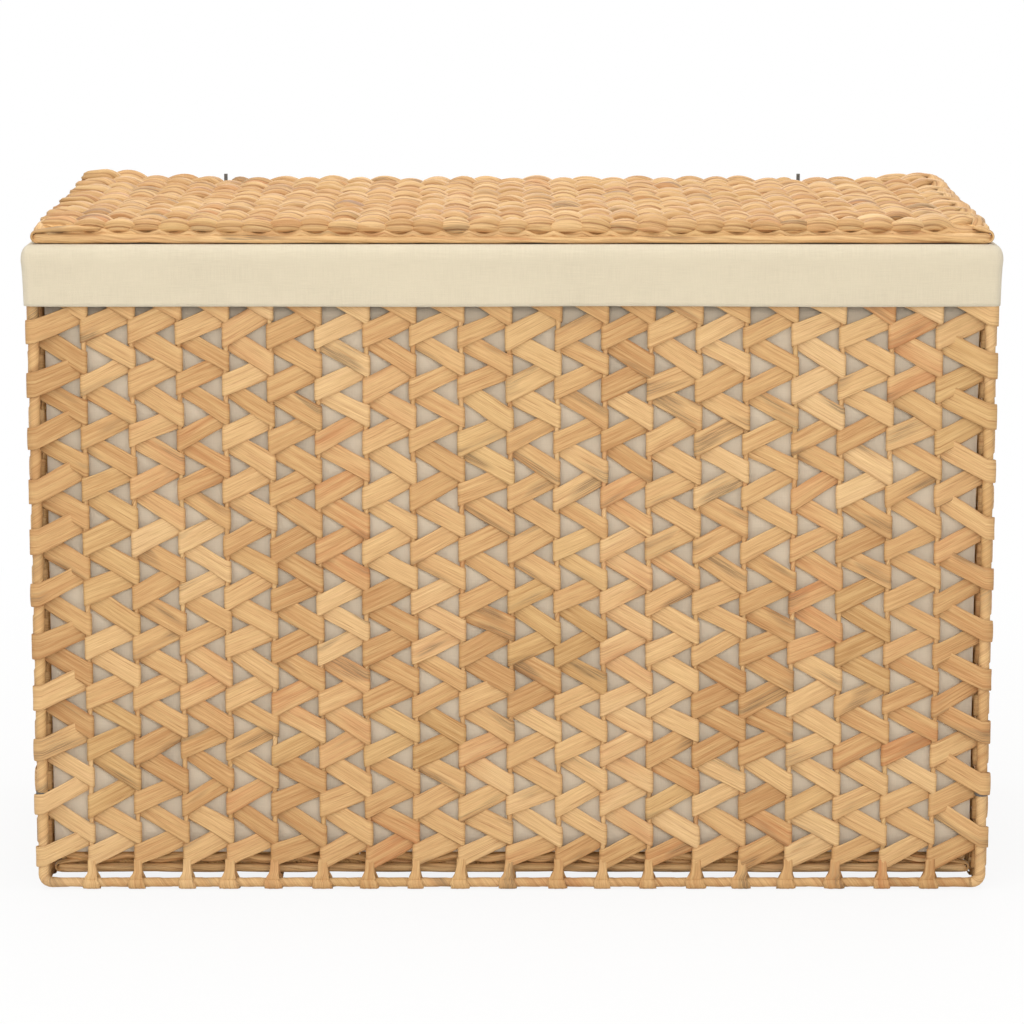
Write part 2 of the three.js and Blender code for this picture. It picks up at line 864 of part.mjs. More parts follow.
// The lid's group turns about the rear rod, which is its own X axis.
function addLid() {
  const lid = new THREE.Group();
  addPiece(lid, "lid_frame", boardFrame(lidWidth, lidFrontRod, 0), boundLeaf);
  addPiece(lid, "lid_weave", lidWeave(), ropeLeaf);
  const edge = addPiece(lid, "lid_front_strand", strand(lidWidth, lidStrand), ropeLeaf);
  edge.position.set(0, lidFront + lidStrand / 2, lidStrand / 2 - lidRadius);
  lid.position.set(0, hingePlace, hingeHeight);
  basket.add(lid);
}

addWalls();
addCornerTies();
addSupportRods();
addBase();
addLiner();
addHingeTies();
addLid();

export default basket;
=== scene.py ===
# Looks of the laundry sorter basket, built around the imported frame.
# Lengths in the making are millimetres; pieces are scaled to metres when their mesh is made.

import json
import math

import bpy
import numpy as np
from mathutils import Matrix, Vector


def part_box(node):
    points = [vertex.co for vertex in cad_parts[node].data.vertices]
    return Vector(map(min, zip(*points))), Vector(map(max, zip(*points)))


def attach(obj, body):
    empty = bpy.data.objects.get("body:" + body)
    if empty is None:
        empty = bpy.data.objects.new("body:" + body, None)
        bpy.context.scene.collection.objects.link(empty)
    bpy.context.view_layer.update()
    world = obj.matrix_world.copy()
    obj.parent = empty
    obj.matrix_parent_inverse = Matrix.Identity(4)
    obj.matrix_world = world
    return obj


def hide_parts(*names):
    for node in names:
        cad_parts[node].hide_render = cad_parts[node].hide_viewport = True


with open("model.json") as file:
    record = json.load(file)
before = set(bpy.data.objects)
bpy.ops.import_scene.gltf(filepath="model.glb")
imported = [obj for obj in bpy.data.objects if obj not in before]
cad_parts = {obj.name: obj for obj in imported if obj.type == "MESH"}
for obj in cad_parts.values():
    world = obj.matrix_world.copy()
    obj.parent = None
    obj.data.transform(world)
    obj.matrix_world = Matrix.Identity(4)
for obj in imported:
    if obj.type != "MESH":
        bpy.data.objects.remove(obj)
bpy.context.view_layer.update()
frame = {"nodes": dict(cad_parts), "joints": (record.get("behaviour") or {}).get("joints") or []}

MM = 0.001
SEED = 4213
QUARTER = math.pi / 2


def node_box(name):
    """A node's lowest and highest corners in millimetres."""
    low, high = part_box(name)
    return np.array(low) / MM, np.array(high) / MM


# Sizes read from the frame, with the radius of its edge rods
frame_low, frame_high = node_box("front_frame")
ROD = 4.0
POST = frame_high[0] - ROD
FRONT_PLANE = -(frame_low[1] + frame_high[1]) / 2
BOTTOM_ROD = frame_low[2] + ROD - 0.9
TOP_ROD = frame_high[2] - ROD
side_low, side_high = node_box("left_frame")
SIDE_PLANE = -(side_low[0] + side_high[0]) / 2
SIDE_POST = side_high[1] - ROD
HEM, RIM = (corner[2] for corner in node_box("cuff_front"))

# Wall weave
FRONT_COLUMNS, SIDE_COLUMNS = 20, 10
FIRST_STRIP = 33.0
STRIP_RISE = 48.1
RETURN_RISE = 22.1
WRAP_CLIMB = 3.0
STRIP_HEIGHT = 21.4
STRIP_SLOPE = 0.91
STRIP_THICKNESS = 1.1
TIE_HEIGHTS = (90.0, 565.0)
LEG_STEPS, WRAP_STEPS = 9, 8
WIDEST_STRIP = STRIP_HEIGHT / 2 * STRIP_SLOPE
STAKE_WINDING, POST_WINDING, TIED_POST_WINDING = 3.1, 6.9, 7.5
STAKE_ROD, SUPPORT_ROD, CROSS_STRAND = 2.45, 3.9, 1.9
HIGHEST_STRIP = TOP_ROD - 13.0

rng = np.random.default_rng(SEED)


def wander(size, *lengths):
    """Smooth random function of a length, of about this size, with waves this long."""
    starts = rng.uniform(0, 2 * np.pi, len(lengths))

    def value(at):
        waves = [np.sin(2 * np.pi * at / length + start) for length, start in zip(lengths, starts)]
        return size * sum(waves) / math.sqrt(len(lengths))

    return value


def triples(x, y, z):
    """Points or marks of three values each; a single number is the same in all of them."""
    return np.stack(np.broadcast_arrays(x, y, z), -1)


def lengths_along(path):
    """Length of a path from its first point to each of its points."""
    return np.concatenate([[0], np.cumsum(np.linalg.norm(np.diff(path, axis=0), axis=1))])


def unit(vectors):
    return vectors / np.linalg.norm(vectors, axis=-1, keepdims=True)


def turned(x, y, turn):
    """Place turned about the Z axis."""
    cos, sin = math.cos(turn), math.sin(turn)
    return x * cos - y * sin, x * sin + y * cos


class Making:
    """Strips and strands gathered into one mesh, each a closed body."""

    def __init__(self):
        self.points, self.marks, self.corners, self.starts = [], [], [], []
        self.point_count = self.corner_count = 0

    def faces(self, corners, marks):
        """Adds faces of one size: corners (n, k) into the last points, marks (n, k, 3)."""
        count, size = corners.shape
        self.corners.append(corners.ravel() + self.point_count)
        self.marks.append(marks.reshape(-1, 3))
        self.starts.append(self.corner_count + size * np.arange(count))
        self.corner_count += count * size

    def sweep(self, rings, marks, closed=False):
        """Rings (n, m, 3) joined one to the next, with leaf marks (n, m + 1, 3)."""
        n, m, _ = rings.shape
        rows = np.arange(n if closed else n - 1)
        after = (rows + 1) % n
        marks_here, marks_after = marks[rows], marks[after]
        if closed:
            marks_after[-1, :, 0] = marks[-1, :, 0] + (marks[-1, :, 0] - marks[-2, :, 0])
        k = np.arange(m)
        beside = (k + 1) % m
        ring, next_ring = rows[:, None] * m, after[:, None] * m
        quads = np.stack([ring + k, ring + beside, next_ring + beside, next_ring + k], -1).reshape(-1, 4)
        quad_marks = [marks_here[:, :-1], marks_here[:, 1:], marks_after[:, 1:], marks_after[:, :-1]]
        quad_marks = np.stack(quad_marks, 2).reshape(-1, 4, 3)
        quad_marks[..., 2] = quad_marks[:, :1, 2]
        points = rings.reshape(-1, 3)
        p, q, r, s = (points[quads[:, i]] - points.mean(0) for i in range(4))
        way = -1 if (p * (np.cross(q, r) + np.cross(r, s))).sum() < 0 else 1
        self.faces(quads[:, ::way], quad_marks[:, ::way])
        if not closed:
            for end, order in ((0, k[::-way]), (n - 1, k[::way])):
                self.faces((end * m + order)[None], marks[end][order][None])
        self.points.append(points)
        self.point_count += len(points)

    def band(self, face, along, across, tone):
        """Leaf band whose outer and inner points are face(1) and face(-1)."""
        rings = np.concatenate([face(1), face(-1)[:, ::-1]], 1)
        across = np.concatenate([across, across[..., ::-1], across[..., :1]], -1)
        self.sweep(rings, triples(along, across, tone))

    def piece(self, name, material, slot, replaces, body="basket", turn=0.0, distance=0.0):
        """Makes the object, turned about Z and moved out to its wall's plane."""
        x, y, z = np.concatenate(self.points).T
        placed = triples(*turned(x, y - distance, turn), z) * MM
        corners, starts = np.concatenate(self.corners), np.concatenate(self.starts)
        mesh = bpy.data.meshes.new(name)
        mesh.vertices.add(len(placed))
        mesh.vertices.foreach_set("co", placed.astype(np.float32).ravel())
        mesh.loops.add(len(corners))
        mesh.loops.foreach_set("vertex_index", corners.astype(np.int32))
        mesh.polygons.add(len(starts))
        mesh.polygons.foreach_set("loop_start", starts.astype(np.int32))
        mesh.update(calc_edges=True)
        add_piece(name, mesh, self.marks, material, replaces, body)


def add_object(name, data):
    made = bpy.data.objects.new(name, data)
    bpy.context.scene.collection.objects.link(made)
    return made


def add_piece(name, mesh, marks, material, replaces, body="basket"):
    """Object of this mesh, which keeps the leaf marks of its face corners for the material."""
    mesh.shade_smooth()
    leaf = mesh.attributes.new("leaf", "FLOAT_VECTOR", "CORNER")
    leaf.data.foreach_set("vector", np.concatenate(marks).astype(np.float32).ravel())
    mesh.materials.append(material)
    made = add_object(name, mesh)
    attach(made, body)
    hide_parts(*replaces)
    return made


# Flat leaf wound in a figure of eight about two stakes

STRIP_ACROSS = np.array([-0.5, -0.46, -0.22, 0.04, 0.28, 0.47, 0.5])
STRIP_FULLNESS = np.array([0.25, 0.75, 1.0, 0.95, 1.0, 0.75, 0.25])


def strip_path(radii, pitch, fronts):
    """Stations of the strip: share of the way between the stakes, offset, depth, height."""
    left_radius, right_radius = radii
    sin = (left_radius(0) + right_radius(0)) / pitch
    cos = math.sqrt(1 - sin * sin)
    angle = math.asin(sin)
    rows = []

    def leg(start, end):
        for t in np.arange(LEG_STEPS) / LEG_STEPS:
            rows.append([a + (b - a) * t for a, b in zip(start, end)])

    def wrap(share, radius, start, end, high):
        low = high - WRAP_CLIMB
        for t in np.arange(WRAP_STEPS) / WRAP_STEPS:
            turn = start + (end - start) * t
            rows.append([share, radius * math.cos(turn), radius * math.sin(turn), low + (high - low) * t])

    for n in range(0, len(fronts) - 2, 2):
        left, right, following = fronts[n : n + 3]
        rl, rr, rf = left_radius(left), right_radius(right), left_radius(following)
        wrap(0, rl, QUARTER - angle, 3 * QUARTER + angle, left)
        leg((0, rl * sin, -rl * cos, left), (1, -rr * sin, rr * cos, right - WRAP_CLIMB))
        wrap(1, rr, QUARTER + angle, -QUARTER - angle, right)
        leg((1, -rr * sin, -rr * cos, right), (0, rf * sin, rf * cos, following - WRAP_CLIMB))
    return np.array(rows)


def stake_drift(x):
    """How far a stake stands from its even place."""
    return np.interp(x, (-400, -300, -215, -50, 35, 115, 290, 400), (1.8, 1.8, -2, -3, -1, -4, -4, -2))


def strip_drift(x, z):
    """How far the strips have been pushed up or down from an even weave."""
    left = np.clip((-190 - x) / 60, 0, 1)
    near = np.interp(z, (40, 150, 300, 420), (-2.0, 3.5, 3.8, 5.2))
    far = np.interp(z, (40, 200, 307, 416), (-3.0, -3.0, -4.3, 1.2))
    return left * near + (1 - left) * far


def weave_column(making, lines, radii, pitch):
    """One column's strip, from its lowest turn up to under the cuff."""
    left, right = lines
    middle = float(left(300.0) + right(300.0)) / 2
    fronts = []
    for n in range(int((HIGHEST_STRIP - FIRST_STRIP) / STRIP_RISE) + 3):
        for rise in (0, RETURN_RISE):
            height = FIRST_STRIP + n * STRIP_RISE + rise
            slip = np.clip(rng.normal(0, 1.3), -2.4, 2.4)
            fronts.append(height + strip_drift(middle, height) + slip)
    path = strip_path(radii, pitch, fronts)
    path = path[: np.argmax(path[:, 3] > HIGHEST_STRIP)]
    share, offset, y, height = path.T[..., None]
    plan = np.concatenate([share * pitch + offset, y], 1)
    along = lengths_along(plan)[:, None]
    tangent = unit(np.gradient(plan, axis=0))
    normal = np.stack([tangent[:, 1], -tangent[:, 0]], 1)
    period = LEG_STEPS + WRAP_STEPS
    stations = np.arange(len(path))[:, None]
    legs = stations // period
    tones = leaf_tones(legs.max() + 1)
    leaf_width = 2.4 * np.sin(2 * np.pi * 5.3 * tones)
    wider = np.interp(stations, (np.arange(len(tones)) + 0.7) * period, leaf_width)
    tall = STRIP_HEIGHT + wander(0.8, 67, 103, 158)(along) + wider
    upper, lower, cup = (wander(0.35, *waves)(along) for waves in ((37, 71), (41, 67), (53, 89)))
    rise = tall * STRIP_ACROSS + np.where(STRIP_ACROSS > 0, upper, -lower) * STRIP_ACROSS * 2
    z = height + rise
    bow = cup * (1 - (2 * STRIP_ACROSS) ** 2)
    x = left(z) * (1 - share) + right(z) * share + offset

    def face(sign):
        out = bow + sign * STRIP_THICKNESS / 2 * STRIP_FULLNESS
        return triples(x + out * normal[:, :1], y + out * normal[:, 1:], z)

    making.band(face, along + rng.uniform(0, 500), rise * STRIP_SLOPE, tones[legs])


def leaf_tones(count):
    """Random tone of each leg; a leaf lasts for a few legs before the next is laid in."""
    tones, tone = [], rng.uniform()
    for _ in range(count):
        if rng.uniform() < 0.45:
            tone = rng.uniform()
        tones.append(tone)
    return np.array(tones)


# Rods and stakes bound with leaf

def frames_along(path, up, closed):
    """Directions to the side of a path and up from it, at each point."""
    after = np.roll(path, -1, 0) - path
    if not closed:
        after[-1] = after[-2]
    before = np.roll(after, 1, 0)
    if not closed:
        before[0] = after[0]
    tangent = unit(unit(after) + unit(before))
    side = unit(np.cross(tangent, up))
    return side, np.cross(side, tangent)


def rings_round(path, up, out, rise, closed=False):
    """Rings about a path, with points this far out to its side and this far up."""
    side, top = frames_along(path, up, closed)
    rings = path[:, None] + side[:, None] * out[..., None] + top[:, None] * rise[..., None]
    return rings[:, :-1]


def bound_rod(making, path, radius, up, sides=12, lay=19.0, relief=0.32, closed=False):
    """Round rod with leaf wound about it: each turn's edge stands over the last one."""
    along = lengths_along(path)[:, None]
    if closed:
        whole = along[-1, 0] + np.linalg.norm(path[0] - path[-1])
        lay = whole / round(whole / lay)
    angle = 2 * np.pi * np.arange(sides + 1) / sides
    turn = along / lay + angle / (2 * np.pi)
    lumps = wander(0.12, 31, 53, 83)(along)
    radius = np.reshape(radius, (-1, 1))
    reach = radius - relief * (0.5 - 0.5 * np.cos(np.pi * (1 - turn % 1.0))) + lumps
    reach = np.minimum(reach, radius)
    rings = rings_round(path, up, reach * np.cos(angle), reach * np.sin(angle), closed)
    marks = triples(along * 0.75 + radius * angle * 0.8, turn * WINDING, rng.uniform())
    making.sweep(rings, marks, closed)


def rounded_loop(half, low, high, radius, step):
    """Points of a rectangle with round corners, in steps of about this length."""
    x, bottom, top = half - radius, low + radius, high - radius
    centres = np.array([(x, bottom), (x, top), (-x, top), (-x, bottom)])
    turn = max(2, int(radius * QUARTER / step) + 1)

    def on_corner(i, share):
        angle = (i - 1 + share) * QUARTER
        return centres[i % 4] + radius * np.array([math.cos(angle), math.sin(angle)])

    points = []
    for i in range(4):
        points.extend(on_corner(i, k / turn) for k in range(turn))
        end, begin = on_corner(i, 1), on_corner(i + 1, 0)
        count = max(1, int(np.linalg.norm(begin - end) / step))
        points.extend(end + (begin - end) * k / count for k in range(count))
    return np.array(points)


# Knots at the foot of each stake

KNOT_LINE = np.array([
    (-2.7, 28, 7.6), (-3.3, 23, 7.9), (-4.1, 17.5, 8.6), (-4.7, 14, 10.2),
    (-5, 11.6, 12.2), (-5, 9.8, 13.6), (-4.6, 8.9, 14.4), (-5.3, 8.1, 15),
    (-6.2, 6.6, 16.2), (-6.3, 4.8, 17), (-5.8, 2.6, 17.2), (-4.2, 0.7, 17),
    (-2, 0.2, 16.8), (2, 0.2, 16.6), (4.2, 0.7, 16.6), (5.7, 3, 16.4),
    (6.1, 5.6, 16), (5.8, 8.6, 14.6), (5, 12, 12), (4.3, 16, 9),
    (3.7, 20, 8.2), (3, 28, 7.6),
])
KNOT_STEPS = 3


def knot(making, place):
    """Leaf that comes down a stake, fans out over the bottom rod and goes up behind."""
    last = len(KNOT_LINE) - 1
    at = np.linspace(0, last, last * KNOT_STEPS + 1)
    line = np.stack([np.interp(at, np.arange(last + 1), column) for column in KNOT_LINE.T])
    line[:, 1:-1] = (line[:, :-2] + 2 * line[:, 1:-1] + line[:, 2:]) / 4
    at, y, z, width = (values[:, None] for values in (at, *line))
    width = width * rng.uniform(0.86, 1.12)
    fan = np.clip(width - 8.0, 0, None) * np.interp(at, [0, 6, 10, 21], [0.42, 0.38, 0.1, 0.0])
    shift = rng.normal(0, 0.7) * np.sin(np.pi * at / last) - fan * rng.uniform(0.6, 1.15)
    shift = shift + wander(0.3, 9, 14)(at * 3)
    across = np.linspace(-0.5, 0.5, 9)
    pleats, phase = rng.uniform(2.0, 5.0), rng.uniform(0, 6)
    spread = np.clip((width - 8.5) / 10, 0, 1)
    relief = spread * 0.24 * np.cos(2 * np.pi * pleats * across + phase)
    edge = 1 - 0.6 * (2 * np.abs(across)) ** 6
    flare = 1 - 0.5 * spread * (2 * np.abs(across)) ** 4
    profile = np.concatenate([y, z], 1)
    tangent = unit(np.gradient(profile, axis=0))
    normal = np.stack([-tangent[:, 1], tangent[:, 0]], 1)
    normal *= -1 if normal[1, 0] > 0 else 1

    def face(sign):
        out = (relief if sign == 1 else 0) + sign * 0.55 * edge * flare
        height = np.maximum(z + out * normal[:, 1:], 0.05)
        return triples(place + shift + width * across, y + out * normal[:, :1], height)

    along = lengths_along(profile)[:, None] + rng.uniform(0, 300)
    making.band(face, along, width * across, rng.uniform())


# Twisted strands of the lid and the base board

STRAND_SIDES = 16
WINDING = 10.2
SQUARENESS = 2.4


def strand(making, path, half_width, half_height, lobes=5, twist=420.0, relief=0.16):
    """Bundle of leaf along a path, flatter or fuller by half_width and half_height."""
    along = lengths_along(path)[:, None]
    angle = 2 * np.pi * np.arange(STRAND_SIDES + 1) / STRAND_SIDES
    turn = angle / (2 * np.pi) + (along / twist + wander(0.03, 210, 330)(along))

    widths = rng.uniform(0.6, 1.4, lobes)
    even = np.concatenate([[0], np.cumsum(widths) / widths.sum()])
    bounds = np.concatenate([bound + wander(0.02, 47, 83, 140)(along) for bound in even[:-1]], 1)
    bounds = np.concatenate([bounds, bounds[:, :1] + 1], 1) - bounds[:, :1]
    turns = turn - wander(0.02, 61, 97)(along)
    share = turns % 1.0
    lobe = (share[..., None] >= bounds[:, None, 1:-1]).sum(-1)
    low = np.take_along_axis(bounds, lobe, 1)
    high = np.take_along_axis(bounds, lobe + 1, 1)
    place = (share - low) / (high - low)

    depth = (relief * rng.uniform(0.4, 1.6, lobes))[lobe]
    groove = 1 - depth * (1 - np.sin(np.pi * place)) ** 1.5 * 1.5
    cos, sin = np.cos(angle), np.sin(angle)
    square = 1 / (np.abs(cos) ** SQUARENESS + np.abs(sin) ** SQUARENESS) ** (1 / SQUARENESS)
    reach = square * groove * (1 + wander(0.035, 43, 71, 117)(along))
    wide, tall = np.reshape(half_width, (-1, 1)), np.reshape(half_height, (-1, 1))
    rings = rings_round(path, (0, 0, 1), wide * reach * cos, tall * reach * sin)
    across = WINDING * (lobes * np.floor(turns) + lobe + place)
    making.sweep(rings, triples(along + rng.uniform(0, 900), across, rng.uniform()))


# Materials

def srgb(*levels):
    """Linear colour of these sRGB levels out of 255."""
    shares = [level / 255 for level in levels]
    linear = [v / 12.92 if v <= 10 / 255 else ((v + 0.055) / 1.055) ** 2.4 for v in shares]
    return (*linear, 1.0)


class Nodes:
    """Short ways to add and join the nodes of one material or world."""

    def __init__(self, name, world=False):
        self.owner = (bpy.data.worlds if world else bpy.data.materials).new(name)
        self.owner.use_nodes = True
        self.tree = self.owner.node_tree
        self.tree.nodes.clear()
        self.output = self.add("ShaderNodeOutputWorld" if world else "ShaderNodeOutputMaterial")

    def add(self, kind, inputs=(), **settings):
        node = self.tree.nodes.new(kind)
        for name, value in settings.items():
            setattr(node, name, value)
        for name, value in dict(inputs).items():
            if isinstance(value, bpy.types.NodeSocket):
                self.tree.links.new(value, node.inputs[name])
            else:
                node.inputs[name].default_value = value
        return node

    def show(self, shader):
        self.tree.links.new(shader.outputs[0], self.output.inputs["Surface"])

    def math(self, operation, *values):
        return self.add("ShaderNodeMath", dict(enumerate(values)), operation=operation).outputs[0]

    def times(self, a, b):
        return self.math("MULTIPLY", a, b)

    def plus(self, a, b):
        return self.math("ADD", a, b)

    def mix(self, share, low, high, blend="MIX"):
        inputs = {0: share, 6: low, 7: high}
        return self.add("ShaderNodeMix", inputs, data_type="RGBA", blend_type=blend).outputs[2]

    def tint(self, base, share, most, *levels):
        """Colour drawn towards these sRGB levels, by a share of the most it may be."""
        return self.mix(self.times(share, most), base, srgb(*levels))

    def ramp(self, value, *stops):
        node = self.add("ShaderNodeValToRGB", {"Fac": value})
        elements = node.color_ramp.elements
        while len(elements) < len(stops):
            elements.new(0.5)
        for element, (place, colour) in zip(elements, stops):
            element.position, element.color = place, colour
        return node.outputs["Color"]

    def between(self, value, low, high, to_low=0.0, to_high=1.0, **settings):
        """Value from the range low to high, brought into another one."""
        inputs = {"Value": value, "From Min": low, "From Max": high, "To Min": to_low, "To Max": to_high}
        return self.add("ShaderNodeMapRange", inputs, **settings).outputs["Result"]

    def vector(self, x, y, z):
        return self.add("ShaderNodeCombineXYZ", {"X": x, "Y": y, "Z": z}).outputs[0]

    def parts(self, vector):
        return self.add("ShaderNodeSeparateXYZ", {"Vector": vector}).outputs

    def marks(self):
        """The piece's own marks: along and across its leaf, and the leaf's tone."""
        return self.parts(self.add("ShaderNodeAttribute", attribute_name="leaf").outputs["Vector"])

    def place(self):
        return self.add("ShaderNodeTexCoord").outputs["Object"]

    def chance(self, x, y, z):
        """Random number from 0 to 1, the same wherever the three values are the same."""
        inputs = {"Vector": self.vector(x, y, z)}
        return self.add("ShaderNodeTexWhiteNoise", inputs, noise_dimensions="3D").outputs["Value"]

    def noise(self, vector, scale, detail=2.0, roughness=0.5):
        inputs = {"Vector": vector, "Scale": scale, "Detail": detail, "Roughness": roughness}
        return self.add("ShaderNodeTexNoise", inputs).outputs["Fac"]

    def streaks(self, place, scale_u, scale_v, detail, roughness=0.5):
        """Noise with a scale of its own in each of the place's first two directions."""
        u, v, seed = place
        at = self.vector(self.times(u, scale_u), self.times(v, scale_v), seed)
        return self.noise(at, 1.0, detail, roughness)

    def finish(self, colour, roughness, height, depth, specular, sheen=0.0):
        bump = self.add("ShaderNodeBump", {"Height": height, "Strength": 1.0, "Distance": depth})
        inputs = {"Base Color": colour, "Roughness": roughness, "Normal": bump.outputs[0]}
        inputs.update({"Specular IOR Level": specular, "Sheen Weight": sheen})
        self.show(self.add("ShaderNodeBsdfPrincipled", inputs))
        return self.owner


WHITE = (1.0, 1.0, 1.0, 1.0)


def leaf_material(name, shade=1.0, fibre=1.5, edge=None, seams=None, coarse=0.28, leaf=0.0, light=0.0):
    """Dried leaf: fibres along it, tones from leaf to leaf, brown and grey streaks; seams darkened partly
    as painted shade, and the whole colour scaled or lightened per copy, partly as painted light and shade.
    """
    n = Nodes(name)
    along, across, tone = n.marks()
    own = n.times(tone, 71.0)
    if seams:
        turn = n.math("DIVIDE", across, WINDING)
        lobe, seam = n.math("FLOOR", turn), n.math("FRACT", turn)
        if leaf:
            slide = n.times(n.chance(lobe, 0.5, own), 7.0)
            run = n.plus(along, n.times(seam, 26.0))
            count = n.math("FLOOR", n.plus(n.math("DIVIDE", run, leaf), slide))
            tone = n.chance(lobe, count, own)
        else:
            tone = n.chance(n.math("FLOOR", n.math("DIVIDE", lobe, 5.0)), 0.5, own)
        # Tones drawn towards the lightest; on the base's edge strands this is painted light that offsets
        # the shade the front wall casts
        if light:
            tone = n.plus(n.times(tone, 1 - light), light)
    place = (along, across, own)
    fine = n.streaks(place, 0.035, fibre, 3.0, 0.6)
    broad = n.streaks(place, 0.018, coarse, 2.0)
    patch = n.streaks(place, 0.012, 0.05, 1.0)
    stain = n.streaks(place, 0.022, 0.62, 3.0, 0.65)
    hue = n.math("FRACT", n.times(tone, 7.31))
    base = n.ramp(
        tone,
        (0.0, srgb(196, 146, 94)), (0.16, srgb(208, 160, 106)), (0.5, srgb(219, 174, 120)),
        (0.82, srgb(228, 186, 132)), (1.0, srgb(235, 197, 146)),
    )
    red = n.times(n.between(hue, 0.80, 0.97), n.between(patch, 0.36, 0.62))
    base = n.tint(base, red, 0.75, 205, 138, 88)
    base = n.tint(base, n.between(hue, 0.12, 0.02), 0.22, 206, 178, 112)
    base = n.tint(base, n.between(broad, 0.34, 0.68), 0.42, 244, 210, 150)
    base = n.tint(base, n.between(stain, 0.54, 0.74), 0.6, 170, 112, 64)
    grey = n.times(n.between(patch, 0.62, 0.70), n.between(fine, 0.42, 0.58))
    base = n.tint(base, grey, 0.7, 108, 86, 62)
    lines = n.between(fine, 0.30, 0.72)
    base = n.mix(0.55, base, n.ramp(lines, (0.0, srgb(188, 166, 140)), (1.0, WHITE)), "MULTIPLY")
    if edge:
        rim = n.between(n.math("ABSOLUTE", across), edge - 1.0, edge)
        base = n.tint(base, rim, 0.3, 160, 106, 60)
    # Painted shade: each lobe's seam is darkened by the seams strength, partly the leaf's own edge and
    # partly the shade in the groove between lobes
    if seams:
        near = n.between(n.math("ABSOLUTE", n.math("SUBTRACT", seam, 0.5)), 0.37, 0.5)
        near = n.times(near, n.between(n.chance(lobe, 9.5, own), -0.5, 1.0))
        base = n.tint(base, near, seams, 138, 88, 47)
    # Whole colour scaled by shade: board_leaf's 1.18 is painted light that offsets the front wall's shade
    # on the base board; rope_leaf's 0.93 is partly a browner twisted leaf and partly painted shade that
    # tones down the top light on the lid
    if shade != 1.0:
        base = n.mix(1.0, base, (shade, shade, shade, 1.0), "MULTIPLY")
    rough = n.between(fine, 0.3, 0.7, 0.72, 0.5)
    return n.finish(base, rough, n.plus(fine, n.times(broad, 0.8)), 0.0007, specular=0.3)


def solid_leaf_material(name):
    """Leaf binding of the rods inside the boards, from their own place."""
    n = Nodes(name)
    x, y, z = n.parts(n.place())
    lean = n.plus(n.plus(n.times(x, 60.0), n.times(y, 60.0)), n.times(z, 40.0))
    winding = n.math("FRACT", lean)
    at = n.vector(n.times(lean, 9.0), n.times(z, 300.0), n.math("SUBTRACT", x, y))
    fibre = n.noise(at, 1.0, 3.0, 0.6)
    base = n.ramp(fibre, (0.25, srgb(172, 118, 68)), (0.5, srgb(214, 166, 104)), (0.8, srgb(236, 198, 138)))
    # Painted shade: the seam between windings is darkened, partly the leaf's own edge and partly the shade
    # in the groove between windings
    seam = n.between(n.math("ABSOLUTE", n.math("SUBTRACT", winding, 0.5)), 0.38, 0.5)
    base = n.tint(base, seam, 0.6, 140, 92, 50)
    return n.finish(base, 0.62, n.math("SUBTRACT", fibre, seam), 0.0006, specular=0.3)


def cloth_material(name, red, green, blue):
    """Cotton: plain weave of fine threads with slubs and soft mottling."""
    n = Nodes(name)
    u, v, _ = n.marks()
    thread = 2 * math.pi / 0.9
    warp, weft = (n.math("SINE", n.times(way, thread)) for way in (u, v))
    cross = n.times(warp, weft)
    slub_u = n.streaks((u, v, 0.0), 0.05, 1.4, 2.0, 0.6)
    slub_v = n.streaks((u, v, 7.0), 1.4, 0.05, 2.0, 0.6)
    slubs = n.plus(slub_u, slub_v)
    mottle = n.streaks((u, v, 3.0), 0.011, 0.02, 3.0, 0.55)
    base = n.mix(n.between(slubs, 0.75, 1.25), srgb(red - 9, green - 9, blue - 9), srgb(red, green, blue))
    base = n.tint(base, n.between(mottle, 0.35, 0.7), 0.5, red + 4, green + 4, blue + 3)
    threads = n.ramp(n.between(cross, -1.0, 1.0), (0.0, srgb(170, 154, 126)), (1.0, WHITE))
    base = n.mix(0.10, base, threads, "MULTIPLY")
    return n.finish(base, 0.9, n.plus(n.times(cross, 0.5), slubs), 0.0003, specular=0.2, sheen=0.4)


def tie_material(name):
    """Dark grey wire tie with a fine ribbed face."""
    n = Nodes(name)
    place = n.place()
    _, y, z = n.parts(place)
    ribs = n.math("SINE", n.times(n.plus(y, z), 5200.0))
    dust = n.noise(place, 900.0, 3.0, 0.6)
    base = n.ramp(dust, (0.3, srgb(84, 82, 78)), (0.7, srgb(118, 114, 108)))
    base = n.tint(base, n.between(ribs, -1.0, 1.0), 0.2, 60, 58, 55)
    return n.finish(base, 0.45, ribs, 0.0001, specular=0.5)


strip_leaf = leaf_material("strip_leaf", edge=WIDEST_STRIP)
bound_leaf = leaf_material("bound_leaf", seams=0.3)
# rope_leaf is darker: partly a browner twisted leaf, partly painted shade that tones down the top light on
# the lid
rope_leaf = leaf_material("rope_leaf", shade=0.93, fibre=0.9, coarse=0.35, seams=1.0, leaf=90.0)
# edge_leaf has lighter tones; on the base's edge strands this is painted light against the front wall's
# shade
edge_leaf = leaf_material("edge_leaf", fibre=0.9, coarse=0.35, seams=0.5, leaf=150.0, light=0.45)
# board_leaf is lighter: painted light that offsets the shade the front wall casts on the base board
board_leaf = leaf_material("board_leaf", shade=1.18, fibre=0.9, coarse=0.35, seams=0.7, leaf=110.0)
rod_leaf = solid_leaf_material("rod_leaf")
cotton = cloth_material("cotton", 231, 218, 191)
# liner_cotton is paler than the cuff's cotton: partly the liner's own cloth, partly painted light that
# offsets the shade behind the wall strips
liner_cotton = cloth_material("liner_cotton", 245, 228, 202)
wire_tie = tie_material("wire_tie")


# Walls

def post_radius(height):
    """Winding radius at a post: wider where it covers a corner tie."""
    middle = height - WRAP_CLIMB / 2
    covering = any(abs(middle - tie) < STRIP_HEIGHT / 2 + 2 for tie in TIE_HEIGHTS)
    return TIED_POST_WINDING if covering else POST_WINDING


def straight(place):
    """A measure that is the same at every height."""
    return lambda height: place + 0 * height


